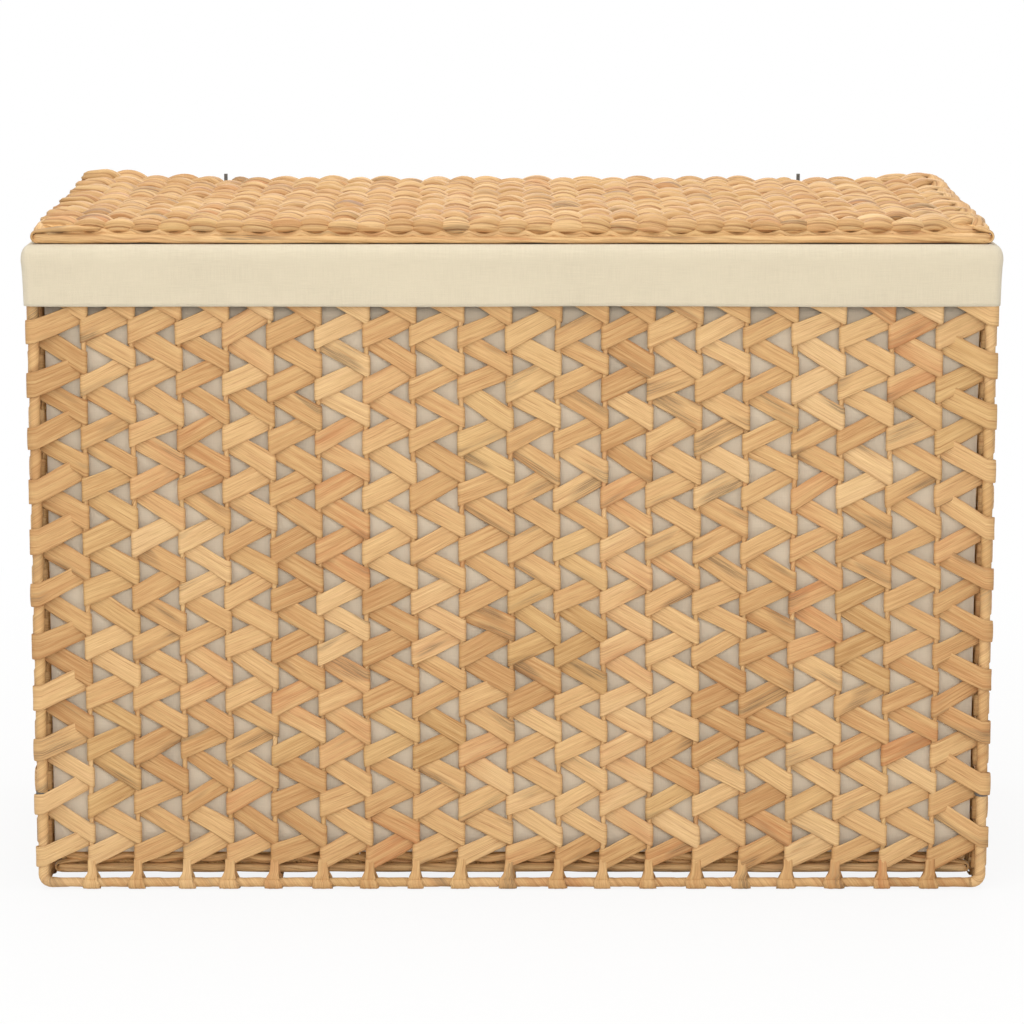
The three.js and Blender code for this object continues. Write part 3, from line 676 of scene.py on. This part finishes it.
def build_wall(name, post, columns, distance, turn):
    """A wall's strips and knots, in one or two pieces, and its bound rods."""
    pitch = 2 * post / columns
    lines = [straight(-post)]
    for k in range(1, columns):
        shift = wander(1.0, 520, 870)
        place = -post + k * pitch + stake_drift(-post + k * pitch)
        lines.append(lambda z, place=place, shift=shift: place + shift(z))
    lines.append(straight(post))
    radii = [post_radius, *[straight(STAKE_WINDING)] * (columns - 1), post_radius]
    sections = [Making() for _ in range(1 + columns // 15)]
    holders = [sections[k * len(sections) // columns] for k in range(columns)]
    for k, leaf in enumerate(holders):
        weave_column(leaf, lines[k : k + 2], radii[k : k + 2], pitch)
    for leaf, line in zip(holders[1:], lines[1:-1]):
        knot(leaf, float(line(10.0)))
    placing = {"turn": turn, "distance": distance}
    for k, leaf in enumerate(sections):
        ending = f"_{k + 1}" if len(sections) > 1 else ""
        leaf.piece(f"{name}_leaf{ending}", strip_leaf, "flat_leaf", [name + "_weave"], **placing)

    rods = Making()
    x, z = rounded_loop(post, BOTTOM_ROD, TOP_ROD, 8.0, 2.6).T
    from_post = post - np.abs(x)
    from_foot = np.hypot(from_post, z - BOTTOM_ROD)
    girth = 4.6 + 0.5 * np.exp(-((from_post / 9) ** 2)) + 0.4 * np.exp(-((from_foot / 15) ** 2))
    bound_rod(rods, triples(x, 0.0, z), girth, (0, -1, 0), closed=True)
    heights = np.linspace(BOTTOM_ROD, TOP_ROD, 60)
    for line in lines[1:-1]:
        path = triples(line(heights), 0.0, heights)
        bound_rod(rods, path, STAKE_ROD, (0, -1, 0), sides=8, lay=26.0, relief=0.2)
    rods.piece(name + "_rods", bound_leaf, "bound_rod", [name + "_frame"], **placing)


build_wall("front", POST, FRONT_COLUMNS, FRONT_PLANE, 0)
build_wall("back", POST, FRONT_COLUMNS, FRONT_PLANE, math.pi)
build_wall("left", SIDE_POST, SIDE_COLUMNS, SIDE_PLANE, -QUARTER)
build_wall("right", SIDE_POST, SIDE_COLUMNS, SIDE_PLANE, QUARTER)


# Support rods under the base board

def build_supports():
    making = Making()
    names = [f"support_rod_{k}" for k in (1, 2, 3)]
    for name in names:
        low, high = node_box(name)
        x, _, z = (low + high) / 2
        bound_rod(making, triples(x, np.arange(low[1], high[1], 2.6), z), SUPPORT_ROD, (0, 0, 1))
    making.piece("support_rods", bound_leaf, "bound_rod", names)


build_supports()


# Boards: rows of strand over and under cross strands, turning back at the ends

HUMP = 25.5
FREE_STEPS = 6


def board_rows(
    making, box, pitch, ends, swing, half_width, half_height, lift, cuts=(), twined=False, out=0.0
):
    """One strand to and fro: row j meets the board's sides at Y = ends[j], turning into the next."""
    low, high = box
    last = len(ends) - 1
    middle = (low[2] + high[2]) / 2
    tip = high[0] + out - half_width * 0.9
    reach = tip - pitch / 2
    line = np.linspace(-reach, reach, round(16 * reach / HUMP) + 1)
    rows = []
    for j, y in enumerate(ends):
        x = line if j % 2 == 0 else line[::-1]
        sign = 1 if (j + last) % 2 else -1
        wave = np.cos(np.pi * (x + wander(1.4, 61, 103, 240)(x)) / HUMP)
        humps = swing * sign * np.sign(wave) * np.abs(wave) ** 0.8
        humps = humps * (1 + wander(0.16, 51, 83, 127)(x)) + wander(0.4, 83, 131, 210)(x)
        upper = middle + humps + half_height
        lower = np.maximum(upper - 2 * half_height, low[2] + 1.0)
        sway = wander(0.9, 97, 173)(x)
        girth = half_width + 0 * x
        if twined and j < 2:
            inner = np.clip((reach - np.abs(x)) / 40, 0, 1)
            crest = sign * wave
            sway = sway + inner * ((ends[0] + ends[1]) / 2 - y - 1.5 - 5.5 * crest)
            rise = 2.4 * crest - 2.8 + 7.5 * np.clip(-crest, 0, 1) + wander(1.0, 71, 118)(x)
            upper = upper + inner * rise
            foot = low[2] + 4.8 + 4.4 * (x / reach) ** 2 + 2.0 * crest
            lower = lower + inner * np.clip(3 * crest, 0, 1) * (np.minimum(lower, foot) - lower)
            girth = half_width * (0.58 + 0.17 * inner)
        if cuts and j == last:
            sway = sway - 2.2 - 0.3 * lift(x, y)
            girth = girth * 0.78
        if cuts and j == last - 1:
            near = sum(np.exp(-(((x - place) / 9) ** 4)) for place in cuts)
            sway = sway - 4.2 * near
            girth = girth * (1 - 0.36 * near)
        path = triples(x, y + sway, (upper + lower) / 2)
        rows.append((path, girth * (1 + 0.05 * sign * wave), (upper - lower) / 2))

    angles = np.linspace(-np.pi / 2, np.pi / 2, 11)[1:-1]
    outline = (tip - reach) * np.cos(angles) ** 0.28
    share = (1 + np.sin(angles)) / 2
    parts = [free_end(rows[0], 0, -1, pitch, half_width, half_height)]
    for j, row in enumerate(rows):
        parts.append(row)
        if j < last:
            (path, wide, _), (next_path, next_wide, _) = row, rows[j + 1]
            turn = path[-1] + (next_path[0] - path[-1]) * share[:, None]
            turn[:, 0] = np.sign(path[-1, 0]) * (reach + outline)
            turn_wide = (wide[-1] + (next_wide[0] - wide[-1]) * share) * (1 - 0.12 * np.cos(angles))
            parts.append((turn, turn_wide, half_height - 0.8 + 0 * share))
    parts.append(free_end(rows[-1], -1, np.sign(rows[-1][0][-1, 0]), pitch, half_width, half_height))
    path, wide, tall = (np.concatenate(values) for values in zip(*parts))
    path[:, 2] += lift(path[:, 0], path[:, 1])
    last_row = np.arange(len(path)) >= len(path) - len(line) - FREE_STEPS
    for piece in split_at(np.where(last_row, path[:, 0], np.inf), cuts):
        strand_row(making, path[piece], wide[piece], tall[piece])


def free_end(row, at, side, pitch, half_width, half_height):
    """Quarter turn of a row's free end round the board's corner, slimmer towards its tip."""
    x, y, z = row[0][at]
    angle = np.linspace(0, np.pi / 2, FREE_STEPS + 1)[1:]
    radius = pitch / 2 + 2.5
    ahead = 1 if at == 0 else -1
    rise = 1 - np.cos(angle)
    x = x + side * radius * np.sin(angle) ** 0.8
    path = triples(x, y + ahead * radius * rise, z - 4.0 * rise)
    wide = half_width * np.linspace(0.95, 0.4, FREE_STEPS)
    tall = np.linspace(half_height - 1, half_height * 0.5, FREE_STEPS)
    return (path[::-1], wide[::-1], tall[::-1]) if at == 0 else (path, wide, tall)


def strand_row(making, path, wide, tall):
    """Strand that is slimmer at its last few points at either end."""
    taper = np.ones(len(path))
    for k, share in enumerate((0.45, 0.75, 0.92)):
        taper[k] = taper[-1 - k] = share
    strand(making, path, wide * taper, tall * taper)


def split_at(x, cuts, room=4.4):
    """Runs of the row between the cuts, each kept clear of them by this room."""
    keep = np.all([np.abs(x - cut) > room for cut in cuts], axis=0) | np.isinf(x)
    edges = np.flatnonzero(np.diff(keep.astype(int))) + 1
    runs = np.split(np.arange(len(x)), edges)
    return [run for run in runs if keep[run[0]] and len(run) > 6]


def cross_strands(making, box, lift):
    """Bound rods from front to back, which the rows pass over and under."""
    low, high = box
    middle = (low[2] + high[2]) / 2
    count = int((high[0] - 14) / HUMP)
    y = np.linspace(low[1] + 24, high[1] - 14, 30)
    for k in range(-count, count + 1):
        x = k * HUMP + wander(0.6, 150, 260)(y)
        path = triples(x, y, middle + lift(x, y))
        bound_rod(making, path, CROSS_STRAND, (0, 0, 1), sides=8, lay=15.0, relief=0.3)


def hairpin(making, side, tip, y, low, high, width, run, thickness):
    """Leaf band that turns from the first row round the end of the edge strand and behind it."""
    radius = (high - low) / 2
    centre = np.array([tip - radius, low + radius])
    share = np.linspace(0, 1, 9)[:-1, None]
    start = centre + np.array([radius - run, radius + 2.6])
    first = start + (centre + np.array([0, radius]) - start) * share
    first[:, 1:] += 1.1 * np.sin(np.pi * share)
    angles = np.linspace(np.pi / 2, -np.pi / 2, 16)
    arc = centre + radius * np.stack([np.cos(angles), np.sin(angles)], 1)
    share = np.linspace(0, 1, 6)[1:, None]
    last = centre + np.array([0, -radius]) + np.array([-9.0, 2.4]) * share
    x, z = np.concatenate([first, arc, last]).T
    path = triples(side * x, y, z)
    sideways = np.array([0.0, 1.0, 0.0])
    normal = np.cross(unit(np.gradient(path, axis=0)), sideways)
    across = np.linspace(-0.5, 0.5, 7)
    end = len(path) - 1
    at = np.arange(end + 1)[:, None]
    slim = np.interp(at, [0, 3, end - 3, end], [0.5, 1, 1, 0.4])
    swell = np.interp(at, [0, 4, 9, end], [1.0, 2.0, 1.0, 0.9])

    def face(sign):
        beside = width * slim * across
        out = sign * thickness * (1 - (2 * np.abs(across)) ** 4 * 0.7) * (slim * swell)
        return path[:, None] + sideways * beside[..., None] + normal[:, None] * out[..., None]

    making.band(face, lengths_along(path)[:, None], 3.4 + across * width * 0.55, 0.35)


def edge_strand(making, box, inset, slim=0.0):
    """Smooth twisted strand along a board's edge, with a rounded nose at either end."""
    low, high = box
    half = (high[2] - low[2]) / 2
    y = (low[1] + high[1]) / 2
    x = np.linspace(low[0] + inset, high[0] - inset, round((high[0] - low[0]) / 3.2) + 1)
    tall = half * (1 - slim * (1 - (x / x[-1]) ** 2))
    z = low[2] + tall + wander(0.2, 90, 170)(x)
    path = triples(x, y + wander(0.3, 140, 230)(x), z)
    nose = np.clip(np.minimum(x - x[0], x[-1] - x) / half, 0, 1)
    round_off = np.sqrt(np.clip(1 - (1 - nose) ** 2, 0.05, 1))
    strand(making, path, half * round_off, tall * round_off, lobes=3, twist=390.0, relief=0.07)


TIES = [float(np.mean(node_box(name), 0)[0]) for name in ("hinge_tie_left", "hinge_tie_right")]
LID_ROWS, BASE_ROWS = 19, 19


def build_lid():
    """The lid's rows and cross strands, and the strands and leaf bands of its edges."""
    low, high = box = node_box("lid_weave")
    edge_low, edge_high = node_box("lid_front_strand")
    hinge = next(joint for joint in frame["joints"] if joint["name"] == "lid_hinge")
    last = hinge["pos_m"][1] / MM
    first = edge_high[1] + 10.0
    pitch = (last - first - 12) / (LID_ROWS - 2.5)
    ends = [first - 7, first + 7]
    ends += [last - (LID_ROWS - 1 - j) * pitch for j in range(2, LID_ROWS)]

    def lift(x, y):
        """How far the rows stand above an even board, towards its back corners."""
        back = np.clip((y - first) / (last - first), 0, 1)
        left = 2.6 * np.clip((-285 - x) / 40, 0, 1) + 9.5 * np.exp(-(((x + 414) / 29) ** 2))
        right = 7.5 * np.exp(-(((x - 414) / 24) ** 2))
        return 5.2 * back + (left + right) * back**5

    making = Making()
    board_rows(making, box, pitch, ends, 4.3, pitch / 2 + 2.0, 7.4, lift, cuts=TIES, twined=True, out=1.4)
    cross_strands(making, box, lift)
    making.piece("lid_leaf", rope_leaf, "rope_leaf", ["lid_weave"], body="lid")

    making = Making()
    edge_strand(making, (edge_low, edge_high - [0, 0, 1.5]), -0.7, slim=0.36)
    front = (edge_low[1] + edge_high[1]) / 2
    for side in (1, -1):
        tip = high[0] + 0.9 + 0.3 * side
        wide = 12.5 + 1.5 * side
        y = front + wide / 2 - 5.5
        hairpin(making, side, tip, y, low[2] + 1.6, edge_high[2] - 0.3, wide, 40.0 - 22.0 * side, 1.4)
        y = np.arange(edge_high[1] - 1, high[1] - 7, 3.4)
        x = side * (high[0] - 6.6) + wander(0.4, 90, 170)(y)
        z = low[2] + 8.7 + 0.5 * lift(x, y) + wander(0.3, 70, 130)(y)
        strand_row(making, triples(x, y, z), 7.6, 8.0 + 0.38 * lift(x, y))
        x = side * (high[0] - 22.5) + wander(0.4, 90, 170)(y)
        strand_row(making, triples(x, y, z - 1.5), 7.5, 5.8 + 0.3 * lift(x, y))
    x = np.arange(22 - high[0], high[0] - 22, HUMP / 8)
    bulge = 1 - np.abs(np.cos(np.pi * x / HUMP))
    y = front + 4.6 + wander(0.3, 110, 190)(x)
    z = edge_high[2] - 6.8 + 3.2 * bulge + 2.0 * (x / x[-1]) ** 2
    strand_row(making, triples(x, y, z), 5.0, 4.2 + 0.8 * bulge)
    x = np.arange(low[0] + 12, high[0] - 12, 3.4)
    y = high[1] - 5.6 + wander(0.3, 110, 190)(x)
    rise = 0.3 * lift(x, y)
    path = triples(x, y, low[2] + 5.2 + rise)
    for piece in split_at(x, TIES):
        strand_row(making, path[piece], 5.0, 4.8 + rise[piece])
    making.piece("lid_edge", edge_leaf, "rope_leaf", ["lid_front_strand"], body="lid")


def build_base():
    """The base board's rows, and the strands and leaf bands of its long edges."""
    low, high = box = node_box("base_weave")
    first = low[1] + 20.0
    ends = np.linspace(first, -first, BASE_ROWS)
    pitch = ends[1] - ends[0]
    making = Making()
    board_rows(making, box, pitch, ends, 3.0, pitch / 2 + 0.5, 5.4, lambda x, y: 2.0 + 0 * x)
    x = np.arange(low[0] + 8, high[0] - 8, HUMP / 8)
    for side in (-1, 1):
        z = 24.8 + 1.7 * np.cos(np.pi * x / HUMP) + wander(0.5, 77, 140)(x)
        y = side * 196.5 + wander(0.5, 90, 170)(x)
        strand_row(making, triples(x, y, z), 8.0, 4.2)
    making.piece("base_leaf", board_leaf, "rope_leaf", ["base_weave"])

    making = Making()
    names = ["base_front_strand", "base_back_strand"]
    for name in names:
        edge_low, edge_high = edge = node_box(name)
        edge_strand(making, edge, 1.6)
        y = (edge_low[1] + edge_high[1]) / 2
        inner = y - math.copysign(2.0, y)
        for end in (1, -1):
            hairpin(making, end, high[0] - 0.4, inner, low[2] + 1.5, edge_high[2] + 0.6, 12.0, 30.0, 1.2)
    making.piece("base_edge", edge_leaf, "rope_leaf", names)


build_lid()
build_base()


# Cloth

CUFF_ARCH = 14
NOTCH_HALF, NOTCH_DEPTH = 3.45, 13.2
CUFF_CLOTH, LINER_CLOTH, DIVIDER_CLOTH = 0.9, 0.7, 1.0


def cloth_piece(name, points, faces, marks, replaces, thickness, material):
    """Cloth from a surface of points in millimetres, given its thickness inwards."""
    mesh = bpy.data.meshes.new(name)
    mesh.from_pydata((np.asarray(points) * MM).tolist(), [], np.asarray(faces).tolist())
    mesh.update()
    made = add_piece(name, mesh, marks, material, replaces)
    shell = made.modifiers.new("thickness", "SOLIDIFY")
    shell.thickness = thickness * MM
    shell.offset = -1
    return made


def rim_stations():
    """Stations round the rim: (side or corner, its number, share of its length)."""
    stations = []
    for side in range(4):
        half = SIDE_PLANE if side % 2 == 0 else FRONT_PLANE
        shares = list(np.linspace(-1, 1, int(2 * half / 9) + 1)[:-1])
        if side == 2:
            shares += [-(tie + way * NOTCH_HALF) / half for tie in TIES for way in (-1, 1)]
        stations += [("side", side, share) for share in sorted(shares)]
        stations += [("corner", side, k / 5) for k in range(5)]
    return stations


def rim_place(station, reach):
    """Place of a station this far outside the middle of the rim, or inside if negative."""
    kind, side, share = station
    radius = max(reach if reach > 0 else min(-reach, 6.0), 0.5)
    along, out = SIDE_PLANE + reach - radius, FRONT_PLANE + reach - radius
    if side % 2:
        along, out = out, along
    if kind == "side":
        x, y = share * along, -(out + radius)
    else:
        angle = (share - 1) * QUARTER
        x, y = along + radius * math.cos(angle), -out + radius * math.sin(angle)
    return turned(x, y, side * QUARTER)


def cuff_section():
    """The cuff's outer line from its hem over the rim and down inside: (reach, height)."""
    shoulder = RIM - 15.0
    line = [(8.1, HEM + 0.2), (8.3, HEM + 4.0), (8.7, HEM + 14.0), (9.3, HEM + 26.0), (10.0, HEM + 36.0)]
    for k in range(CUFF_ARCH + 1):
        angle = math.pi * k / CUFF_ARCH
        cos, sin = math.cos(angle), math.sin(angle)
        line.append((10.6 * math.copysign(abs(cos) ** 0.85, cos), shoulder + 15.0 * sin**0.85))
    line += [(-10.5, HEM + 30), (-10.6, HEM + 15), (-10.7, HEM + 0.2)]
    return np.array(line)


def build_cuff():
    """The cuff all round the rim, cut out where the hinge ties pass through it."""
    stations = rim_stations()
    section = cuff_section()
    lengths = lengths_along(section)
    middle = np.array([rim_place(station, 8.0) for station in stations])
    round_way = lengths_along(np.concatenate([middle, middle[:1]]))
    # The middle one isn't used: drawing it keeps all that is drawn later as it is
    soft, _, sag = wander(0.35, 260, 410, 173), wander(0.3, 190, 330), wander(0.5, 340, 560)
    points, faces, marks = [], [], []
    for i, station in enumerate(stations):
        for reach, height in section:
            free = max(0.0, min(1.0, (RIM - 10 - height) / 40)) if reach > 0 else 0.0
            ease = free * (0.35 + soft(round_way[i] + 2.2 * height) * 0.8)
            if height >= RIM - 14:
                ease = 0
            x, y = rim_place(station, reach + ease - (0.3 if reach > 0 else 0))
            points.append((x, y, height + sag(round_way[i]) * free * 0.6))
    count, across = len(stations), len(section)
    for i in range(count):
        here, there = stations[i], stations[(i + 1) % count]
        notch = False
        if here[:2] == there[:2] == ("side", 2):
            x = -(here[2] + there[2]) / 2 * SIDE_PLANE
            notch = any(abs(x - tie) < NOTCH_HALF for tie in TIES)
        for j in range(across - 1):
            if notch and min(section[j][1], section[j + 1][1]) > TOP_ROD - NOTCH_DEPTH:
                continue
            corners = [(i, j), (i + 1, j), (i + 1, j + 1), (i, j + 1)]
            faces.append([a % count * across + b for a, b in corners])
            marks.append([(round_way[a], lengths[b], 0) for a, b in corners])
    nodes = ["cuff_front", "cuff_back", "cuff_left", "cuff_right"]
    made = cloth_piece("cuff", points, faces, marks, nodes, CUFF_CLOTH, cotton)


def cloth_panel(origin, across, up, columns, rows, bulge, base=0, shift=0.0):
    """Points, faces and marks of a cloth panel whose first point has the number base."""
    origin, across, up = (np.asarray(a, float) for a in (origin, across, up))
    u, v = np.meshgrid(np.linspace(0, 1, columns + 1), np.linspace(0, 1, rows + 1), indexing="ij")
    x, y = u * np.linalg.norm(across), v * np.linalg.norm(up)
    out = bulge(x, y, u, v)[..., None] * unit(np.cross(across, up))
    points = origin + u[..., None] * across + v[..., None] * up + out
    i, j = np.meshgrid(np.arange(columns), np.arange(rows), indexing="ij")
    a = (i * (rows + 1) + j).ravel()
    faces = np.stack([a, a + rows + 1, a + rows + 2, a + 1], 1)
    return points.reshape(-1, 3), faces + base, triples(x + shift, y, 0.0).reshape(-1, 3)[faces]


def build_liner():
    """The liner's tub: four walls and a floor, seamed together."""
    low, _ = node_box("liner_floor")
    right, back = -low[0] - 0.4, -low[1] - 0.4
    floor = low[2] + 5.0
    top = node_box("liner_front")[1][2]
    up = (0, 0, top - floor)
    sides = [
        ((-right, -back, floor), (2 * right, 0, 0), up, 56, 26),
        ((right, -back, floor), (0, 2 * back, 0), up, 30, 26),
        ((right, back, floor), (-2 * right, 0, 0), up, 56, 26),
        ((-right, back, floor), (0, -2 * back, 0), up, 30, 26),
        ((-right, back, floor), (2 * right, 0, 0), (0, -2 * back, 0), 56, 30),
    ]
    panels = []
    for k, side in enumerate(sides):
        soft, fold = wander(0.7, 310, 190, 520), wander(0.4, 140, 260)

        def bulge(x, y, u, v):
            edge = np.clip(np.minimum(u, 1 - u) * 14, 0, 1) * np.clip(np.minimum(v, 1 - v) * 12, 0, 1)
            lift = 1.4 + soft(x + 0.35 * y) + fold(y - 0.2 * x)
            return edge * np.clip(lift, 0, 2.4) * (-0.4 if k == 4 else 1)

        base = sum(len(points) for points, _, _ in panels)
        panels.append(cloth_panel(*side, bulge, base, 97.0 * k))
    points, faces, marks = (np.concatenate(parts) for parts in zip(*panels))
    nodes = ["liner_floor", "liner_front", "liner_back", "liner_left", "liner_right"]
    made = cloth_piece("liner", points, faces, marks, nodes, LINER_CLOTH, liner_cotton)
    weld = made.modifiers.new("seams", "WELD")
    weld.merge_threshold = 0.0002
    made.modifiers.move(1, 0)


def build_dividers():
    """The two dividers, which hang from the liner's long walls."""
    for name in ("divider_1", "divider_2"):
        low, high = node_box("liner_" + name)
        x = (low[0] + high[0]) / 2
        wide, tall = high[1] - low[1], high[2] - low[2]
        soft, fold = wander(2.2, 330, 520), wander(1.2, 150, 240)

        def bulge(a, b, u, v):
            held = np.clip(np.minimum(u, 1 - u) * 6, 0, 1) * np.clip(v * 9, 0, 1)
            return held * (soft(a + 0.6 * b) + fold(b - 0.5 * a))

        panel = cloth_panel((x, low[1], low[2]), (0, wide, 0), (0, 0, tall), 36, 44, bulge)
        made = cloth_piece(name, *panel, ["liner_" + name], DIVIDER_CLOTH, liner_cotton)


build_cuff()
build_liner()
build_dividers()

# CAD nodes that stay
rod_nodes = ("lid_frame", "base_frame")
for name, node in frame["nodes"].items():
    if name in rod_nodes or "_tie_" in name:
        node.data.materials.clear()
        node.data.materials.append(rod_leaf if name in rod_nodes else wire_tie)


# Stage, light and camera

LENS, CAMERA_PLACE, CAMERA_TILT = 137.6, (0, -3.747, 0.9365), 80.62

# Each light's place, the height it points at, its size and its power
LIGHTS = {
    "front": ((0.2, -3.4, 1.2), 0.3, (2.2, 1.6), 44),
    "key": ((-1.6, -2.4, 2.6), 0.3, (1.8, 1.6), 20),
    "top": ((0, 0.2, 3.0), 0.5, (2.6, 2.6), 50),
    "back": ((0.3, 3.6, 1.3), 0.3, (2.4, 1.6), 24),
}


def build_stage():
    """Pale floor with a soft shadow, seen white away from the object."""
    n = Nodes("floor")
    camera_ray = n.add("ShaderNodeLightPath").outputs["Is Camera Ray"]
    place = n.place()
    away = n.add("ShaderNodeVectorMath", {0: place}, operation="LENGTH").outputs["Value"]
    far = n.between(away, 0.7, 1.6, 0.88, 1.0, interpolation_type="SMOOTHSTEP")
    grain = n.noise(place, 40.0)
    colour = n.ramp(grain, (0.0, (0.78, 0.78, 0.77, 1.0)), (1.0, (0.82, 0.82, 0.81, 1.0)))
    plain = n.add("ShaderNodeBsdfDiffuse", {"Color": colour}).outputs[0]
    white = n.add("ShaderNodeEmission", {"Color": WHITE, "Strength": 1.0}).outputs[0]
    n.show(n.add("ShaderNodeMixShader", {0: n.times(camera_ray, far), 1: plain, 2: white}))
    bpy.ops.mesh.primitive_plane_add(size=60, location=(0, 0, -0.0005))
    floor = bpy.context.object
    floor.name = "floor"
    floor.data.materials.append(n.owner)


def build_world():
    """Soft light from all round; the camera and mirror-like rays see plain white."""
    n = Nodes("studio", world=True)
    bpy.context.scene.world = n.owner
    rays = n.add("ShaderNodeLightPath").outputs
    seen = n.math("MAXIMUM", rays["Is Camera Ray"], rays["Is Glossy Ray"])
    soft = n.add("ShaderNodeBackground", {"Color": (1.0, 0.99, 0.97, 1.0), "Strength": 0.58}).outputs[0]
    white = n.add("ShaderNodeBackground", {"Color": WHITE, "Strength": 1.0}).outputs[0]
    n.show(n.add("ShaderNodeMixShader", {0: seen, 1: soft, 2: white}))


def area_light(name, place, target, size, power):
    light = bpy.data.lights.new(name, "AREA")
    light.shape = "RECTANGLE"
    light.size, light.size_y = size
    light.energy = power
    made = add_object(name, light)
    made.location = place
    made.rotation_euler = (Vector((0, 0, target)) - Vector(place)).to_track_quat("-Z", "Y").to_euler()


def build_camera():
    camera = add_object("camera", bpy.data.cameras.new("camera"))
    camera.data.sensor_width = 36.0
    camera.data.lens = LENS
    camera.data.clip_end = 200
    camera.location = CAMERA_PLACE
    camera.rotation_euler = (math.radians(CAMERA_TILT), 0, 0)
    bpy.context.scene.camera = camera


build_stage()
build_world()
for name, settings in LIGHTS.items():
    area_light(name, *settings)
build_camera()

scene = bpy.context.scene
scene.view_settings.view_transform = "Standard"
